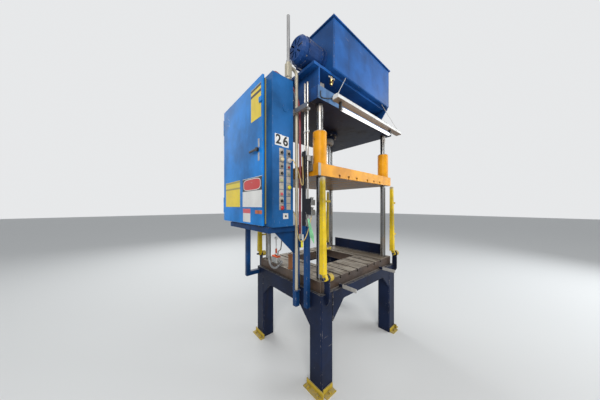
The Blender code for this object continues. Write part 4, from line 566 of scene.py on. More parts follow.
# painted shade on the platen's underside
platen_paint = shop_paint("platen_orange_paint", (0.950, 0.375, 0.012), 0.36, 0.26, 0.34, 0.08,
                          [(platen_bare_corner, steel_bare),
                           (platen_underside_shade, (0.034, 0.022, 0.014))])
prop_paint = shop_paint("prop_yellow_paint", (0.740, 0.520, 0.022), 0.45, 0.38, 0.40,
                        overlays=[(prop_tip, steel_bare), (prop_collars, (0.020, 0.020, 0.021))])
chrome = turned_steel("ground_column_steel", (0.27, 0.27, 0.265), 0.20, 0.50)
rod_steel = turned_steel("trip_rod_steel", (0.42, 0.41, 0.39), 0.30, 0.5)
bed_steel = worn_plate("bed_worn_steel")
dull_metal = cast_metal("dull_cast_metal", (0.40, 0.39, 0.37))
zinc_metal = cast_metal("zinc_fittings", (0.58, 0.58, 0.56), 0.9, 0.34, 0.35)
brass_metal = cast_metal("brass_fittings", (0.72, 0.50, 0.20), 1.0, 0.30, 0.35)
conduit_paint = cast_metal("ivory_conduit", (0.56, 0.51, 0.39), 0.25, 0.48, 0.40)
switch_grey = cast_metal("switch_grey", (0.22, 0.23, 0.24), 0.35, 0.45, 0.50)
enamel_white = (0.80, 0.80, 0.77)
lamp_white = cast_metal("lamp_enamel", enamel_white, 0.0, 0.32, 0.18)
light_enamel = cast_metal("work_light_enamel", enamel_white, 0.0, 0.32, 0.18,
                          [(light_underside, (0.160, 0.090, 0.040))])
valve_metal = cast_metal("lever_valve_metal", (0.58, 0.58, 0.56), 0.9, 0.34, 0.35,
                         [(above(1.010), (0.700, 0.100, 0.020))])
top_conduit_paint = cast_metal("top_conduit_paint", (0.56, 0.51, 0.39), 0.25, 0.48, 0.40,
                               [(above(2.870), (0.330, 0.330, 0.335))])
black_grip = plastic("black_grip", (0.018, 0.018, 0.020))
maroon_rubber = rubber("maroon_rubber", (0.230, 0.022, 0.034), 0.42)
tan_rubber = rubber("tan_rubber", (0.560, 0.400, 0.150), 0.55)
black_rubber = rubber("black_rubber", (0.012, 0.012, 0.013))
ribbed_sheath = rubber("ribbed_grey_sheath", (0.230, 0.235, 0.240), 0.50)
ink_black = plastic("black_ink", (0.014, 0.013, 0.012), 0.50)
ink_white = plastic("white_ink", (0.750, 0.750, 0.730), 0.45)
legend_metal = cast_metal("legend_metal", (0.560, 0.510, 0.440), 0.10, 0.45, 0.75)
trim_brown = rubber("brown_trim", (0.110, 0.055, 0.025))
tag_green = rubber("green_card", (0.230, 0.640, 0.350), 0.60)
tag_yellow = rubber("yellow_card", (0.820, 0.720, 0.030), 0.55)
sleeve_orange = plastic("orange_sleeve", (0.700, 0.110, 0.025))
rust_metal = cast_metal("rusted_steel", (0.330, 0.130, 0.045), 0.15, 0.70, 0.45)
duct_grey = plastic("duct_grey", (0.300, 0.310, 0.310))
terminal_cream = plastic("terminal_cream", (0.560, 0.500, 0.370))
oil_glass = plastic("oil_glass", (0.360, 0.200, 0.030), 0.10)

for nodes, material in (
        ("side_frame_left side_frame_right apron_front apron_rear side_guard main_cylinder",
         navy_paint),
        ("cabinet", cabinet_paint), ("cabinet_door", door_paint),
        ("cabinet_stand switch_post", stand_paint),
        ("oil_tank tank_lid power_unit_deck", tank_paint), ("motor fan_cover", motor_paint),
        ("column_front_left column_front_right column_rear_left column_rear_right ram_rod",
         chrome),
        ("safety_prop_front_left safety_prop_front_right safety_prop_rear_left "
         "safety_prop_rear_right", prop_paint),
        ("crown", crown_paint), ("bed_plate", bed_steel), ("platen", platen_paint),
        ("trip_rod_front trip_rod_rear", rod_steel),
        ("cylinder_gland valve_manifold trip_arm rod_guide drain_lever", dull_metal),
        ("pressure_pipe", zinc_metal), ("lever_valve", valve_metal),
        ("limit_switch_upper limit_switch_lower", switch_grey),
        ("drain_valve", brass_metal), ("door_handle", black_grip),
        ("work_light", light_enamel), ("control_lever", lamp_white),
        ("mounting_panel", switchgear_paint), ("lamp_tube", lit_tube("lit_lamp_tube")),
        ("riser_conduit", conduit_paint), ("top_conduit", top_conduit_paint)):
    for node in nodes.split():
        dress(node, material)

knob_black = (0.016, 0.016, 0.018)
operator_colours = {
    "mode_selector": knob_black,
    "cycle_start_button": (0.700, 0.600, 0.360),
    "jog_button": knob_black,
    "pump_selector": knob_black,
    "heat_selector": knob_black,
    "emergency_stop_button": (0.560, 0.016, 0.020),
    "key_selector": knob_black,
    "stop_button": (0.330, 0.012, 0.014),
    "inch_button": (0.800, 0.680, 0.020),
    "reset_button": (0.240, 0.240, 0.235),
}
for node, colour in operator_colours.items():
    dress(node, plastic(node + "_plastic", colour))


# added pieces
def piece(name, bm, material, body="press", smooth=None):
    """Make one finished piece that rides on a body."""
    mesh = bpy.data.meshes.new(name)
    bm.normal_update()
    bm.to_mesh(mesh)
    bm.free()
    mesh.materials.append(material)
    item = new_object(name, mesh)
    if smooth is not None:
        mesh.shade_smooth()
        mesh.set_sharp_from_angle(angle=math.radians(smooth))
    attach(item, body)
    return item


def built(name, material, parts, body="press", smooth=35):
    """One piece from a list of blocks, rods and turned shapes."""
    bm = bmesh.new()
    for add, *sizes in parts:
        add(bm, *sizes)
    return piece(name, bm, material, body, smooth)


def block(bm, low, high, bevel=0.0, segments=2):
    """A box with softened edges, between two places."""
    low, high = at(*low), at(*high)
    place = Matrix.Translation((low + high) / 2) @ Matrix.Diagonal((*(high - low), 1.0))
    made = bmesh.ops.create_cube(bm, size=1.0, matrix=place)["verts"]
    if bevel:
        edges = list({edge for vert in made for edge in vert.link_edges})
        bmesh.ops.bevel(bm, geom=edges, offset=bevel, segments=segments, profile=0.5,
                        affect="EDGES", clamp_overlap=True)


def rod(bm, start, end, radius, sides=24):
    start, end = at(*start), at(*end)
    along = end - start
    turn = along.to_track_quat("Z", "Y").to_matrix().to_4x4()
    place = Matrix.Translation((start + end) / 2) @ turn
    bmesh.ops.create_cone(bm, cap_ends=True, segments=sides, radius1=radius, radius2=radius,
                          depth=along.length, matrix=place)


def turned(bm, centre, axis, profile, sides=32):
    """A turned shape from (radius, distance) pairs along an axis."""
    closed = profile[0] == profile[-1]
    if closed:
        profile = profile[:-1]
    turn = Vector(axis).to_track_quat("Z", "Y").to_matrix().to_4x4()
    place = Matrix.Translation(at(*centre)) @ turn
    rings = []
    for radius, distance in profile:
        ring = []
        for step in range(sides if radius > 0.00001 else 1):
            angle = 2 * math.pi * step / sides
            spot = (radius * math.cos(angle), radius * math.sin(angle), distance)
            ring.append(bm.verts.new(place @ Vector(spot)))
        rings.append(ring)
    following = rings[1:] + rings[:1] if closed else rings[1:]
    for first, second in zip(rings, following):
        for step in range(sides):
            after = (step + 1) % sides
            corners = [first[step % len(first)], first[after % len(first)],
                       second[after % len(second)], second[step % len(second)]]
            bm.faces.new(list(dict.fromkeys(corners)))
    bmesh.ops.recalc_face_normals(bm, faces=bm.faces)


def lifting_ring(bm, centre, radius, thickness, steps):
    """An upright ring of short rods."""
    x, y, z = centre
    spots = []
    for step in range(steps + 1):
        angle = 2 * math.pi * step / steps
        spots.append((x + radius * math.cos(angle), y, z + radius * math.sin(angle)))
    for start, end in zip(spots, spots[1:]):
        rod(bm, start, end, thickness, 10)


# repeated fasteners and welds
class Growth:
    """A geometry tree with named sizes, built node by node."""

    def __init__(self, name, sizes):
        self.tree = bpy.data.node_groups.new(name, "GeometryNodeTree")
        new_socket = self.tree.interface.new_socket
        new_socket("Geometry", in_out="INPUT", socket_type="NodeSocketGeometry")
        for size in sizes:
            new_socket(size, in_out="INPUT", socket_type="NodeSocketFloat")
        new_socket("Finish", in_out="INPUT", socket_type="NodeSocketMaterial")
        new_socket("Geometry", in_out="OUTPUT", socket_type="NodeSocketGeometry")
        self.given = self.tree.nodes.new("NodeGroupInput").outputs

    def node(self, kind, values, output=0, **settings):
        """Add a node, set or link its inputs, and return one output."""
        made = self.tree.nodes.new(kind)
        for key, value in settings.items():
            setattr(made, key, value)
        for key, value in values.items():
            if isinstance(value, bpy.types.NodeSocket):
                self.tree.links.new(value, made.inputs[key])
            else:
                made.inputs[key].default_value = value
        return made.outputs[output]

    def spread(self, points, shape, direction, **more):
        """One shape on each point along its direction, as the tree's result."""
        turn = self.node("FunctionNodeAlignRotationToVector", {"Vector": direction},
                         "Rotation", axis="Z")
        values = {"Points": points, "Instance": shape, "Rotation": turn, **more}
        many = self.node("GeometryNodeInstanceOnPoints", values, "Instances")
        real = self.node("GeometryNodeRealizeInstances", {"Geometry": many})
        painted = self.node("GeometryNodeSetMaterial",
                            {"Geometry": real, "Material": self.given["Finish"]})
        result = self.tree.nodes.new("NodeGroupOutput")
        self.tree.links.new(painted, result.inputs["Geometry"])
        return self.tree


def bolt_tree():
    """Hex heads on washers, one on each point, facing along its arrow."""
    growth = Growth("hex_bolts", ["Head Radius", "Head Height", "Washer Height"])
    given = growth.given

    def disc(vertices, radius, depth, middle):
        values = {"Vertices": vertices, "Radius": radius, "Depth": depth}
        shape = growth.node("GeometryNodeMeshCylinder", values, "Mesh")
        lift = growth.node("ShaderNodeCombineXYZ", {"Z": middle})
        return growth.node("GeometryNodeTransform", {"Geometry": shape, "Translation": lift})

    head_middle = growth.node("ShaderNodeMath", {0: given["Head Height"], 1: 0.5,
                                                 2: given["Washer Height"]},
                              operation="MULTIPLY_ADD")
    wider = growth.node("ShaderNodeMath", {0: given["Head Radius"], 1: 1.30},
                        operation="MULTIPLY")
    washer_middle = growth.node("ShaderNodeMath", {0: given["Washer Height"], 1: 0.5},
                                operation="MULTIPLY")
    both = growth.tree.nodes.new("GeometryNodeJoinGeometry")
    for shape in (disc(6, given["Head Radius"], given["Head Height"], head_middle),
                  disc(20, wider, given["Washer Height"], washer_middle)):
        growth.tree.links.new(shape, both.inputs["Geometry"])
    arrow = growth.node("GeometryNodeInputNamedAttribute", {"Name": "out"}, "Attribute",
                        data_type="FLOAT_VECTOR")
    return growth.spread(given["Geometry"], both.outputs["Geometry"], arrow)


def weld_tree():
    """Overlapping ripples along each edge, as a hand-laid weld has."""
    growth = Growth("weld_ripples", ["Bead Radius", "Ripple Pitch"])
    given = growth.given
    curve = growth.node("GeometryNodeMeshToCurve", {"Mesh": given["Geometry"]})
    spaced = growth.node("GeometryNodeResampleCurve",
                         {"Curve": curve, "Length": given["Ripple Pitch"]}, mode="LENGTH")
    drop = growth.node("GeometryNodeMeshIcoSphere",
                       {"Subdivisions": 2, "Radius": given["Bead Radius"]}, "Mesh")
    uneven = growth.node("FunctionNodeRandomValue", {2: 0.80, 3: 1.15, "Seed": 7}, 1,
                         data_type="FLOAT")
    size = growth.node("ShaderNodeCombineXYZ", {"X": uneven, "Y": uneven, "Z": 0.62})
    tangent = growth.node("GeometryNodeInputTangent", {}, "Tangent")
    return growth.spread(spaced, drop, tangent, Scale=size)


def baked(holder):
    """A holder's final mesh, with the holder itself taken away."""
    bpy.context.view_layer.update()
    depsgraph = bpy.context.evaluated_depsgraph_get()
    mesh = bpy.data.meshes.new_from_object(holder.evaluated_get(depsgraph))
    holder.modifiers.clear()
    bpy.data.objects.remove(holder, do_unlink=True)
    return mesh


def grow(name, mesh, tree, sizes, material, body):
    """Run a tree on a mesh and keep its result as a plain piece."""
    holder = new_object(name + "_seed", mesh)
    modifier = holder.modifiers.new("grow", "NODES")
    modifier.node_group = tree
    given = {**sizes, "Finish": material}
    for item in tree.interface.items_tree:
        if item.in_out == "INPUT" and item.name in given:
            modifier[item.identifier] = given[item.name]
    made = baked(holder)
    made.name = name
    made.shade_smooth()
    made.set_sharp_from_angle(angle=math.radians(38))
    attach(new_object(name, made), body)


hex_bolts = bolt_tree()
weld_ripples = weld_tree()


def bolts(name, spots, radius, height, material, body="press", washer=0.0016):
    """Bolt heads at (place, direction) pairs."""
    mesh = bpy.data.meshes.new(name)
    mesh.from_pydata([at(*place) for place, _ in spots], [], [])
    arrows = mesh.attributes.new("out", "FLOAT_VECTOR", "POINT")
    for index, (_, direction) in enumerate(spots):
        arrows.data[index].vector = direction
    sizes = {"Head Radius": radius, "Head Height": height, "Washer Height": washer}
    grow(name, mesh, hex_bolts, sizes, material, body)


def welds(name, lines, radius, material):
    """Weld beads along lists of places."""
    places = []
    edges = []
    for line in lines:
        start = len(places)
        places.extend(at(*place) for place in line)
        edges.extend((start + step, start + step + 1) for step in range(len(line) - 1))
    mesh = bpy.data.meshes.new(name)
    mesh.from_pydata(places, edges, [])
    sizes = {"Bead Radius": radius, "Ripple Pitch": radius * 0.72}
    grow(name, mesh, weld_ripples, sizes, material, "press")


def ring_of(centre, radius, count, axis, start=0.0):
    """Places evenly round a circle, with the direction that they face."""
    spots = []
    for step in range(count):
        angle = math.radians(start) + 2 * math.pi * step / count
        u, v = radius * math.cos(angle), radius * math.sin(angle)
        x, y, z = centre
        if abs(axis[2]) > 0.5:
            place = (x + u, y + v, z)
        elif abs(axis[0]) > 0.5:
            place = (x, y + u, z + v)
        else:
            place = (x + u, y, z + v)
        spots.append((place, axis))
    return spots


# cords
hose_route = [
    (-0.270, 0.310, 2.7373), (-0.270, 0.310, 2.744), (-0.270, 0.310, 2.751),
    (-0.245, 0.316, 2.772), (-0.170, 0.322, 2.762), (-0.110, 0.318, 2.748),
    (-0.062, 0.304, 2.700), (-0.028, 0.278, 2.600), (-0.029, 0.248, 2.450),
    (-0.031, 0.240, 2.200), (-0.028, 0.239, 1.900), (-0.031, 0.240, 1.600),
    (-0.030, 0.240, 1.400), (-0.0295, 0.240, 1.320), (-0.0295, 0.240, 1.2953),
]
panel_cord_route = [
    (-0.160, 0.2087, 1.9962), (-0.160, 0.201, 1.9962), (-0.1590, 0.191, 1.9945),
    (-0.1560, 0.180, 1.9860), (-0.1490, 0.172, 1.9680), (-0.118, 0.165, 1.905),
    (-0.1030, 0.153, 1.835), (-0.0990, 0.148, 1.800), (-0.0930, 0.146, 1.7850),
    (-0.0845, 0.146, 1.7810), (-0.0765, 0.147, 1.7890), (-0.0725, 0.149, 1.8150),
    (-0.0715, 0.152, 1.870), (-0.0725, 0.155, 1.950), (-0.0730, 0.155, 2.010),
    (-0.0730, 0.155, 2.0297),
]
switch_cord_route = [
    (-0.0967, 0.265, 1.550), (-0.0927, 0.265, 1.550), (-0.0887, 0.265, 1.550),
    (-0.076, 0.250, 1.500), (-0.080, 0.222, 1.380), (-0.082, 0.190, 1.305),
    (-0.080, 0.150, 1.290), (-0.074, 0.115, 1.330), (-0.058, 0.092, 1.410),
    (-0.0350, 0.0890, 1.492), (-0.0350, 0.0890, 1.506), (-0.0350, 0.0890, 1.5197),
]
flexible_route = [
    (-0.250, 0.420, 1.4027), (-0.250, 0.420, 1.390), (-0.250, 0.420, 1.370),
    (-0.250, 0.420, 1.250), (-0.248, 0.422, 1.130), (-0.215, 0.445, 1.045),
    (-0.140, 0.490, 0.990), (-0.050, 0.555, 0.980), (0.030, 0.615, 0.982),
    (0.0635, 0.660, 0.9753), (0.0635, 0.678, 0.9753), (0.0635, 0.6977, 0.9753),
]
valve_hose_route = [
    (-0.130, 0.378, 1.4090), (-0.130, 0.378, 1.3900), (-0.1290, 0.380, 1.3600),
    (-0.1050, 0.425, 1.2700), (-0.0600, 0.500, 1.1900), (-0.0050, 0.590, 1.1350),
    (0.0320, 0.675, 1.1000), (0.0470, 0.711, 1.0800), (0.0480, 0.714, 1.0640),
    (0.0480, 0.714, 1.0450),
]
crown_lead_route = [
    (0.028, 0.0355, 2.592), (0.0275, 0.0352, 2.570), (0.029, 0.0352, 2.548),
    (0.050, 0.0350, 2.540), (0.110, 0.0352, 2.556), (0.160, 0.0350, 2.574),
    (0.188, 0.0330, 2.580),
]


def smooth_line(points, parts=6):
    """A soft line through every given place."""
    places = [Vector(point) for point in points]
    line = [places[0]]
    for index in range(len(places) - 1):
        before = places[max(index - 1, 0)]
        start = places[index]
        end = places[index + 1]
        after = places[min(index + 2, len(places) - 1)]
        for step in range(1, parts + 1):
            t = step / parts
            line.append(0.5 * (2 * start + (end - before) * t
                               + (2 * before - 5 * start + 4 * end - after) * t * t
                               + (3 * start - before - 3 * end + after) * t * t * t))
    return line


def lay_cord(name, route, radius, material, stands_for=None):
    """A cord as a bevelled curve along its route, at its real radius, in place of the imported
    part that it stands for, if any.
    """
    line = [at(*place) for place in smooth_line(route)]
    curve = bpy.data.curves.new(name, "CURVE")
    curve.dimensions = "3D"
    curve.bevel_depth = radius
    curve.bevel_resolution = 3
    curve.use_fill_caps = True
    spline = curve.splines.new("POLY")
    spline.points.add(len(line) - 1)
    for point, place in zip(spline.points, line):
        point.co = (*place, 1.0)
    spline.use_smooth = True
    curve.materials.append(material)
    item = new_object(name, curve)
    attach(item, "press")
    if stands_for:
        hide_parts(stands_for)


def collar_along(name, start, end, radius, sides=6, grooves=0):
    """A nut or a crimped sleeve round a cord's end."""
    first, last = Vector(start), Vector(end)
    half = (last - first).normalized() * 0.0012
    rods = [(rod, start, end, radius, sides)]
    for step in range(grooves):
        middle = first.lerp(last, (step + 1) / (grooves + 1))
        rods.append((rod, middle - half, middle + half, radius * 1.07, sides))
    return built(name, zinc_metal, rods)


hose_collars = [
    collar_along("hose_upper_crimp", (-0.270, 0.310, 2.7378), (-0.270, 0.310, 2.7515),
                 0.0135, 24, 2),
    collar_along("hose_lower_crimp", (-0.0295, 0.240, 1.2957), (-0.0295, 0.240, 1.345),
                 0.0135, 24, 4),
]
lay_cord("maroon_hose", hose_route, 0.011, maroon_rubber, "red_hose")
lay_cord("tan_panel_cord", panel_cord_route, 0.004, tan_rubber, "panel_cord")
lay_cord("tan_switch_cord", switch_cord_route, 0.004, tan_rubber, "switch_cord")
flex_ends = [
    collar_along("flexible_conduit_nut_top", (-0.250, 0.420, 1.3832), (-0.250, 0.420, 1.4025),
                 0.0150),
    collar_along("flexible_conduit_nut_low", (0.0635, 0.678, 0.9753), (0.0635, 0.6975, 0.9753),
                 0.0135),
]
lay_cord("ribbed_flexible_conduit", flexible_route, 0.010, ribbed_sheath, "flexible_conduit")
valve_hose_ends = [
    collar_along("valve_hose_nut_top", (-0.130, 0.378, 1.4000), (-0.130, 0.378, 1.4198),
                 0.0110),
    collar_along("valve_hose_nut_low", (0.0480, 0.7140, 1.0390), (0.0480, 0.7140, 1.0540),
                 0.0110),
]
lay_cord("grey_valve_hose", valve_hose_route, 0.0060, ribbed_sheath, None)
lead_plug = built("crown_lead_plug", black_rubber, [
    (block, (0.188, 0.017, 2.562), (0.216, 0.0398, 2.606), 0.003),
    (rod, (0.202, 0.0168, 2.594), (0.202, 0.0192, 2.594), 0.006, 12)])
lay_cord("crown_lead", crown_lead_route, 0.0038, black_rubber, None)


# plates and marks
def flat_plate(name, low, high, material, body="press", bevel=0.0004):
    built(name, material, [(block, low, high, bevel, 1)], body, None)


def screw_heads(name, spots, radius, material, body="press"):
    bolts(name, spots, radius, radius * 0.55, material, body, 0.0006)


def grid(across, deep, high, direction):
    """Every place on a grid, with the direction that they all face."""
    return [((x, y, z), direction) for x in across for y in deep for z in high]


to_left, to_front, to_back = (-1, 0, 0), (0, -1, 0), (0, 1, 0)
door_skin = -0.3753
# piece, print, thickness, two corners across the door, colour, bands, ovals
for name, print_name, thick, low, high, colour, bands, ovals in (
        ("upper_yellow_plate", "upper_yellow_print", 0.0010, (0.344, 2.360), (0.528, 2.650),
         (0.860, 0.640, 0.015), [("z", 2.574, 2.646, (0.012, 0.012, 0.012)),
                                 ("z", 2.598, 2.624, (0.820, 0.600, 0.020))], ()),
        ("lower_yellow_plate", "lower_yellow_print", 0.0010, (0.772, 1.590), (1.168, 1.860),
         (0.880, 0.660, 0.010), [("z", 1.772, 1.856, (0.360, 0.300, 0.040)),
                                 ("z", 1.790, 1.838, (0.760, 0.600, 0.030))], ()),
        ("white_plate", "white_plate_print", 0.0010, (0.330, 1.590), (0.708, 1.858),
         plate_white, [("z", 1.737, 1.854, (0.014, 0.014, 0.015))],
         [(0.519, 1.7955, 0.168, 0.0530, plate_white),
          (0.519, 1.7955, 0.160, 0.0475, (0.560, 0.030, 0.030))]),
        ("small_white_plate", "small_plate_print", 0.0008, (0.542, 1.448), (0.700, 1.574),
         (0.740, 0.740, 0.720), [("z", 1.532, 1.5745, (0.620, 0.090, 0.110))], ()),
        ("orange_plate", "orange_print", 0.0008, (0.329, 1.532), (0.449, 1.563),
         (0.560, 0.130, 0.025), [("y", 0.372, 0.405, (0.330, 0.070, 0.020))], ())):
    flat_plate(name, (door_skin - thick, *low), (door_skin + 0.0004, *high),
               printed_plate(print_name, colour, bands, ovals), "door")
flat_plate("handle_backplate", (door_skin - 0.0022, 0.370, 1.990),
           (door_skin + 0.0004, 0.396, 2.180), zinc_metal, "door", 0.0008)
screw_heads("handle_backplate_screws",
            grid([door_skin - 0.0022], [0.383], (2.000, 2.170), to_left),
            0.0045, zinc_metal, "door")


def digit(name, text, centre, height, material):
    """A plain painted digit on the front of the cabinet."""
    curve = bpy.data.curves.new(name, "FONT")
    curve.body = text
    curve.size = height * 1.38
    curve.extrude = 0.0003
    curve.offset = 0.0030
    curve.align_x = "CENTER"
    curve.align_y = "CENTER"
    curve.materials.append(material)
    mesh = baked(new_object(name + "_outline", curve))
    mesh.name = name
    upright = Matrix.Rotation(math.radians(90.0), 4, "X")
    mesh.transform(Matrix.Translation(at(*centre)) @ upright)
    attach(new_object(name, mesh), "press")


for name, text, low_x, high_x, low_z in (("left", "2", -0.302, -0.231, 2.112),
                                         ("right", "6", -0.229, -0.158, 2.108)):
    flat_plate("number_plate_" + name, (low_x, 0.2436, low_z), (high_x, 0.2454, low_z + 0.096),
               printed_plate("number_plate_print_" + name, (0.790, 0.790, 0.780)))
    digit("number_" + name, text, ((low_x + high_x) / 2, 0.2433, low_z + 0.0480), 0.080,
          ink_black)
flat_plate("white_square", (-0.218, 0.2438, 1.488), (-0.163, 0.2454, 1.536),
           printed_plate("white_square_print", (0.740, 0.740, 0.720)))
built("white_square_dot", ink_black,
      [(rod, (-0.190, 0.2432, 1.512), (-0.190, 0.2440, 1.512), 0.010, 24)], smooth=None)


def row_height(row):
    """The height of a row of lamps and switches on the cabinet."""
    return 2.055 - 0.0588 * row


legend_plates = []
legend_screws = []
for x in (-0.235, -0.160):
    for z in map(row_height, range(9)):
        legend_plates.append((block, (x - 0.0225, 0.2437, z - 0.0175),
                              (x + 0.0225, 0.2454, z + 0.0375), 0.0003, 1))
        legend_screws += grid((x - 0.0175, x + 0.0175), [0.2437], [z + 0.0315], to_front)
built("legend_plates", legend_metal, legend_plates, smooth=None)
screw_heads("legend_screws", legend_screws, 0.0016, zinc_metal)
for node, x, row in (("mode_selector", -0.235, 0), ("pump_selector", -0.235, 3),
                     ("heat_selector", -0.235, 7), ("key_selector", -0.160, 0)):
    z = row_height(row)
    flat_plate(node + "_mark", (x - 0.0009, 0.2196, z + 0.0005),
               (x + 0.0009, 0.2212, z + 0.0108), ink_white, node, 0.0)
built("cabinet_gland_nuts", zinc_metal, [
    (rod, (-0.270, 0.310, 2.7202), (-0.270, 0.310, 2.7300), 0.0200, 6),
    (rod, (-0.250, 0.420, 1.4100), (-0.250, 0.420, 1.4200), 0.0230, 6),
    (rod, (-0.1052, 0.265, 1.550), (-0.0995, 0.265, 1.550), 0.0165, 6)], smooth=30)

# crown, cylinder and column tops
bolts("cylinder_flange_bolts", ring_of((0.700, 0.555, 2.4846), 0.1165, 8, downwards, 22.5),
      0.0105, 0.011, dull_metal)
bolts("gland_bolts", ring_of((0.700, 0.555, 2.3793), 0.0605, 8, downwards), 0.0065, 0.007,
      dull_metal)
bolts("ram_flange_bolts", ring_of((0.700, 0.555, 2.0054), 0.0760, 8, upwards, 22.5), 0.0100,
      0.011, dull_metal, "ram")
built("cylinder_lifting_eye", dull_metal, [
    (lifting_ring, (0.700, 0.555, 3.205), 0.024, 0.0075, 24),
    (turned, (0.700, 0.555, 3.1645), upwards,
     [(0.0, 0.0), (0.022, 0.0), (0.022, 0.008), (0.010, 0.014), (0.010, 0.022), (0.0, 0.022)],
     24)], smooth=50)


def thread_profile(inner, outer, low, high, pitch):
    profile = [(0.0, low), (inner, low)]
    height = low
    while height + pitch < high:
        profile.append((outer, height + pitch / 2))
        height += pitch
        profile.append((inner, height))
    profile.append((inner * 0.93, high))
    profile.append((0.0, high))
    return profile


column_places = [(x, y) for x in (0.095, 1.305) for y in (0.110, 1.000)]
column_thread = thread_profile(0.0262, 0.0276, 2.6900, 2.7140, 0.003)
for name, material, body, smooth, sides, profile in (
        ("column_top_threads", dull_metal, "press", 20, 32, column_thread),
        ("column_nut_washers", dull_metal, "press", 35, 36,
         [(0.030, 2.6402), (0.0560, 2.6402), (0.0560, 2.6450), (0.0545, 2.6462),
          (0.030, 2.6462), (0.030, 2.6402)]),
        ("sleeve_wipers", black_rubber, "ram", 35, 36,
         [(0.0330, 2.2702), (0.0400, 2.2702), (0.0400, 2.2785), (0.0345, 2.2815),
          (0.0330, 2.2790), (0.0330, 2.2702)]),
        ("wiper_retainers", dull_metal, "ram", 35, 36,
         [(0.0400, 2.2702), (0.0590, 2.2702), (0.0590, 2.2745), (0.0580, 2.2755),
          (0.0400, 2.2755), (0.0400, 2.2702)])):
    built(name, material, [(turned, (x, y, 0.0), upwards, profile, sides)
                           for x, y in column_places], body, smooth)
wiper_screws = []
nipples = []
for x, y in column_places:
    wiper_screws += ring_of((x, y, 2.2756), 0.0500, 4, upwards, 45.0)
    side = -1 if x < base_width / 2 else 1
    start = x + side * 0.0632
    for reach, radius in ((0.006, 0.0055), (0.011, 0.0030), (0.015, 0.0038)):
        nipples.append((rod, (start, y, 2.200), (start + side * reach, y, 2.200), radius, 10))
screw_heads("wiper_screws", wiper_screws, 0.0040, dull_metal, "ram")
built("grease_nipples", brass_metal, nipples, "ram")

# power unit
bolts("tank_lid_bolts",
      grid((0.175, 0.345, 0.515, 0.700, 0.885, 1.055, 1.225), (0.006, 0.434), [3.3007], upwards)
      + grid((0.166, 1.234), [0.220], [3.3007], upwards), 0.0065, 0.0055, zinc_metal)
built("oil_level_frame", zinc_metal, [
    (block, (1.2400, 0.170, 2.930), (1.2480, 0.210, 3.110), 0.003),
    (rod, (1.2470, 0.190, 2.944), (1.2540, 0.190, 2.944), 0.009, 6),
    (rod, (1.2470, 0.190, 3.096), (1.2540, 0.190, 3.096), 0.009, 6)])
flat_plate("oil_level_glass", (1.2475, 0.1825, 2.960), (1.2492, 0.1975, 3.080), oil_glass)
built("tank_drain_plug", zinc_metal, [
    (rod, (1.2398, 0.220, 2.868), (1.2440, 0.220, 2.868), 0.022, 28),
    (rod, (1.2440, 0.220, 2.868), (1.2560, 0.220, 2.868), 0.014, 6)], smooth=30)
welds("tank_corner_welds", [[(x, y, 2.845), (x, y, 3.285)] for x in (0.1685, 1.2315)
                            for y in (0.0008, 0.4392)], 0.0022, tank_paint)
welds("tank_foot_welds", [[(0.168, 0.4405, 2.8345), (1.232, 0.4405, 2.8345)],
                          [(1.2402, 0.050, 2.8345), (1.2402, 0.432, 2.8345)]], 0.0035,
      tank_paint)
bolts("bracket_foot_bolts", grid([1.1930], (0.165, 0.250, 0.340), [2.6524], upwards),
      0.0065, 0.007, dull_metal)
welds("bracket_welds", [[(x, start, z), (x, end, z)]
                        for sides, start, end, z in (((0.0190, 0.0370), 0.060, 0.375, 2.6448),
                                                     ((0.0190, 0.0370), 0.060, 0.425, 2.8060),
                                                     ((1.2040, 1.2220), 0.012, 0.425, 2.8060))
                        for x in sides], 0.0032, tank_paint)
motor_band = [(0.1196, 0.0), (0.1222, 0.0006), (0.1222, 0.0060), (0.1196, 0.0066),
              (0.1196, 0.0)]
built("motor_bands_and_eye", motor_paint, [
    (turned, (-0.0520, 0.200, 2.980), (1, 0, 0), motor_band, 48),
    (turned, (0.1020, 0.200, 2.980), (1, 0, 0), motor_band, 48),
    (lifting_ring, (0.030, 0.200, 3.128), 0.018, 0.0055, 20),
    (rod, (0.030, 0.200, 3.097), (0.030, 0.200, 3.113), 0.010, 16)], smooth=40)
bolts("motor_foot_bolts", grid((0.008, 0.108), (0.112, 0.288), [2.8461], upwards), 0.0075,
      0.008, zinc_metal)
screw_heads("terminal_box_screws", grid((0.020, 0.100), [0.3561], (2.944, 3.016), to_back),
            0.0040, zinc_metal)
outward = [(0, math.cos(angle), math.sin(angle))
           for angle in map(math.radians, (45, 135, 225, 315))]
screw_heads("fan_cover_screws", [((-0.0600, 0.200 + 0.1162 * y, 2.980 + 0.1162 * z), (0, y, z))
                                 for _, y, z in outward], 0.0040, zinc_metal)

# valve manifold and its pipes
built("valve_coils", black_rubber, [
    (rod, (0.2790, 0.630, 2.7323), (0.3060, 0.630, 2.7323), 0.0262, 28),
    (rod, (0.4740, 0.630, 2.7323), (0.5010, 0.630, 2.7323), 0.0262, 28),
    (block, (0.2800, 0.6140, 2.7560), (0.3060, 0.6460, 2.7820), 0.003),
    (block, (0.4740, 0.6140, 2.7560), (0.5000, 0.6460, 2.7820), 0.003)])
built("pipe_nuts", zinc_metal, [
    (rod, (0.390, 0.630, 2.7608), (0.390, 0.630, 2.7780), 0.0190, 6),
    (rod, (0.5860, 0.555, 3.0647), (0.6060, 0.555, 3.0647), 0.0190, 6),
    (rod, (0.2760, 0.630, 2.7323), (0.2795, 0.630, 2.7323), 0.0090, 6),
    (rod, (0.5005, 0.630, 2.7323), (0.5040, 0.630, 2.7323), 0.0090, 6),
    *((rod, (x, 0.7000, 2.672), (x, 0.7070, 2.672), 0.0125, 6)
      for x in (0.315, 0.390, 0.465))], smooth=30)
bolts("manifold_screws", grid((0.294, 0.486), (0.574, 0.686), [2.7065], upwards), 0.0060,
      0.007, dull_metal)
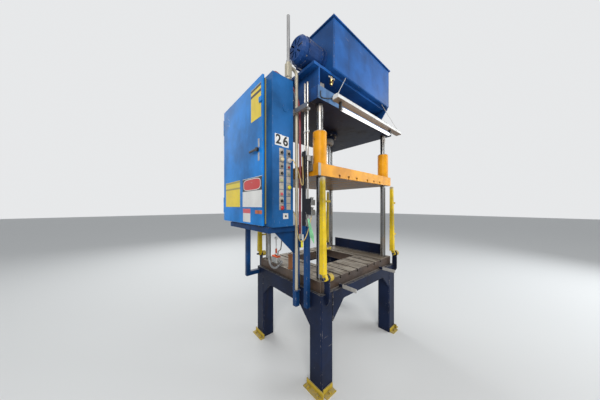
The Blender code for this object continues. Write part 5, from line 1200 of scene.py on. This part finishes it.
bolts("valve_screws", grid((0.336, 0.444), (0.614, 0.646), [2.7604], upwards), 0.0035, 0.004,
      dull_metal)

# work light
clips = []
for x in (0.300, 0.520, 0.760, 1.000, 1.220):
    clips.append((block, (x - 0.009, -0.0940, 2.5385), (x + 0.009, -0.0560, 2.5425), 0.001))
    clips.append((block, (x - 0.009, -0.1062, 2.5120), (x + 0.009, -0.1045, 2.5250), 0.0005))
built("light_housing_clips", zinc_metal, clips, smooth=None)
flat_plate("light_lower_trim", (0.0905, -0.1062, 2.4930), (1.3445, -0.1048, 2.4985), trim_brown)
built("lamp_holder_caps", black_rubber,
      [(block, (low, -0.0885, 2.4265), (high, -0.0615, 2.4920), 0.002)
       for low, high in ((0.1488, 0.1652), (1.0848, 1.1012))])
built("lamp_end_caps", zinc_metal,
      [(rod, (low, -0.0750, 2.4400), (high, -0.0750, 2.4400), 0.0149, 28)
       for low, high in ((0.1655, 0.1800), (1.0700, 1.0845))])

# base
welds("apron_welds", [[(x, y, 0.580), (x, y, 0.838)] for x in (0.1508, 1.2492)
                      for y in (0.0015, 1.1085)], 0.0038, navy_paint)
welds("bed_welds", [[(0.160, y, 0.8410), (1.240, y, 0.8410)] for y in (0.0392, 1.0708)],
      0.0042, bed_steel)

# tags, lever sleeve and trip gear
tag = bmesh.new()
outline = [(-0.1020, 1.4950), (-0.0840, 1.4940), (-0.0286, 1.3450), (-0.0262, 1.2765),
           (-0.0755, 1.3455)]
front = [tag.verts.new(at(x, 0.0600, z)) for x, z in outline]
rear = [tag.verts.new(at(x, 0.0612, z)) for x, z in outline]
tag.faces.new(front)
tag.faces.new(list(reversed(rear)))
for step in range(len(outline)):
    after = (step + 1) % len(outline)
    tag.faces.new([front[after], front[step], rear[step], rear[after]])
bmesh.ops.recalc_face_normals(tag, faces=tag.faces)
piece("green_tag", tag, tag_green)
built("green_tag_wire", zinc_metal,
      [(rod, (-0.0930, 0.0606, 1.4880), (-0.0590, 0.1335, 1.5450), 0.0010, 8)], smooth=None)
built("rusted_bed_post", rust_metal, [
    (turned, (0.0600, 0.500, 0.9404), upwards,
     [(0.0, 0.0), (0.0290, 0.0), (0.0290, 0.012), (0.0225, 0.014), (0.0225, 0.135),
      (0.0245, 0.137), (0.0245, 0.150), (0.0, 0.152)], 28)], smooth=40)
flat_plate("yellow_tag", (-0.0930, 0.1540, 1.238), (-0.0690, 0.1550, 1.300), tag_yellow,
           bevel=0.0002)
built("lever_sleeve", sleeve_orange, [
    (turned, (0.0636, 0.775, 1.052), upwards,
     [(0.0, 0.0), (0.0095, 0.0), (0.0115, 0.004), (0.0115, 0.046), (0.0085, 0.052),
      (0.0, 0.052)], 28)], "control_lever", 40)
arms = []
for z in (1.672, 1.587):
    arms += [(rod, (-0.0303, 0.0889, z - 0.004), (-0.0303, 0.0889, z + 0.006), 0.0075, 16),
             (block, (-0.0345, 0.0700, z + 0.0010), (-0.0260, 0.0925, z + 0.0040), 0.0008),
             (rod, (-0.0303, 0.0705, z - 0.004), (-0.0303, 0.0705, z + 0.003), 0.0085, 20)]
built("switch_roller_arms", zinc_metal, arms)
screw_heads("switch_cover_screws",
            grid((-0.0480, -0.0125), [0.0637], (1.526, 1.562, 1.611, 1.647), to_front),
            0.0026, zinc_metal)
stop_profile = [(0.0096, 0.0), (0.0155, 0.0), (0.0165, 0.001), (0.0165, 0.013),
                (0.0155, 0.014), (0.0096, 0.014)]
stops = []
for y in (0.137, 0.172):
    for z in (1.480, 2.250):
        stops += [(turned, (-0.030, y, z), upwards, stop_profile, 28),
                  (rod, (-0.0455, y, z + 0.007), (-0.0485, y, z + 0.007), 0.0032, 6)]
built("trip_rod_collars", zinc_metal, stops)
bolts("trip_arm_bolts", grid([-0.0001], (0.119, 0.190), (1.925, 1.975), to_left), 0.0060,
      0.006, dull_metal, "ram")

# switchgear behind the door
way_pitch = 0.0185
ducts = []
for z in (1.705, 2.047, 2.389):
    ducts.append((block, (-0.1560, 0.340, z + 0.070), (-0.1284, 1.165, z + 0.108), 0.002))
    for y in (0.350 + way * way_pitch for way in range(44)):
        ducts.append((block, (-0.1585, y, z + 0.074), (-0.1555, y + 0.009, z + 0.104)))
terminals = []
for y in (0.420 + way * way_pitch for way in range(36)):
    terminals.append((block, (-0.1600, y, 1.5480), (-0.1284, y + 0.0165, 1.6000), 0.0015, 1))
built("wire_ducts", duct_grey, ducts, smooth=None)
built("terminal_row", terminal_cream, terminals, smooth=None)


# room
def studio_mesh(name, corners, material):
    mesh = bpy.data.meshes.new(name)
    mesh.from_pydata(corners, [], [tuple(range(len(corners)))])
    mesh.materials.append(material)
    item = new_object(name, mesh)


def set_room():
    floor_finish = Finish("floor_pale")
    floor_finish.give("Base Color", (0.70, 0.70, 0.69))
    floor_finish.give("Roughness", 0.75)
    far = 40.0
    studio_mesh("floor", [(-far, -far, 0.0), (far, -far, 0.0), (far, far, 0.0), (-far, far, 0.0)],
                floor_finish.material)
    world = bpy.data.worlds.new("room")
    bpy.context.scene.world = world
    world.use_nodes = True
    tree = world.node_tree
    tree.nodes.clear()
    seen = tree.nodes.new("ShaderNodeBackground")
    seen.inputs["Color"].default_value = (0.80, 0.81, 0.82, 1.0)
    seen.inputs["Strength"].default_value = 1.0
    lit = tree.nodes.new("ShaderNodeBackground")
    lit.inputs["Color"].default_value = (0.90, 0.95, 1.0, 1.0)
    lit.inputs["Strength"].default_value = 0.44
    path = tree.nodes.new("ShaderNodeLightPath")
    either = path.outputs["Is Camera Ray"]
    for ray in ("Is Glossy Ray", "Is Transmission Ray"):
        greater = tree.nodes.new("ShaderNodeMath")
        greater.operation = "MAXIMUM"
        tree.links.new(either, greater.inputs[0])
        tree.links.new(path.outputs[ray], greater.inputs[1])
        either = greater.outputs[0]
    mix = tree.nodes.new("ShaderNodeMixShader")
    tree.links.new(either, mix.inputs[0])
    tree.links.new(lit.outputs[0], mix.inputs[1])
    tree.links.new(seen.outputs[0], mix.inputs[2])
    output = tree.nodes.new("ShaderNodeOutputWorld")
    tree.links.new(mix.outputs[0], output.inputs["Surface"])


def soft_lamp(name, place, aim, size, power, colour):
    light = bpy.data.lights.new(name, "AREA")
    light.shape = "RECTANGLE"
    light.size = size[0]
    light.size_y = size[1]
    light.energy = power
    light.color = colour
    item = new_object(name, light)
    item.location = at(*place)
    direction = at(*aim) - at(*place)
    item.rotation_euler = direction.to_track_quat("-Z", "Y").to_euler()


set_room()
soft_lamp("key", (-4.6, -5.0, 5.4), (0.2, 0.4, 1.6), (4.0, 4.0), 390.0, (1.0, 0.97, 0.93))
soft_lamp("fill", (6.0, -4.0, 3.8), (0.7, 0.5, 1.4), (4.0, 4.0), 240.0, (0.92, 0.96, 1.0))
soft_lamp("back", (1.0, 6.5, 5.4), (0.7, 0.5, 1.6), (5.0, 4.0), 240.0, (0.95, 0.98, 1.0))

scene = bpy.context.scene
scene.view_settings.view_transform = "Standard"
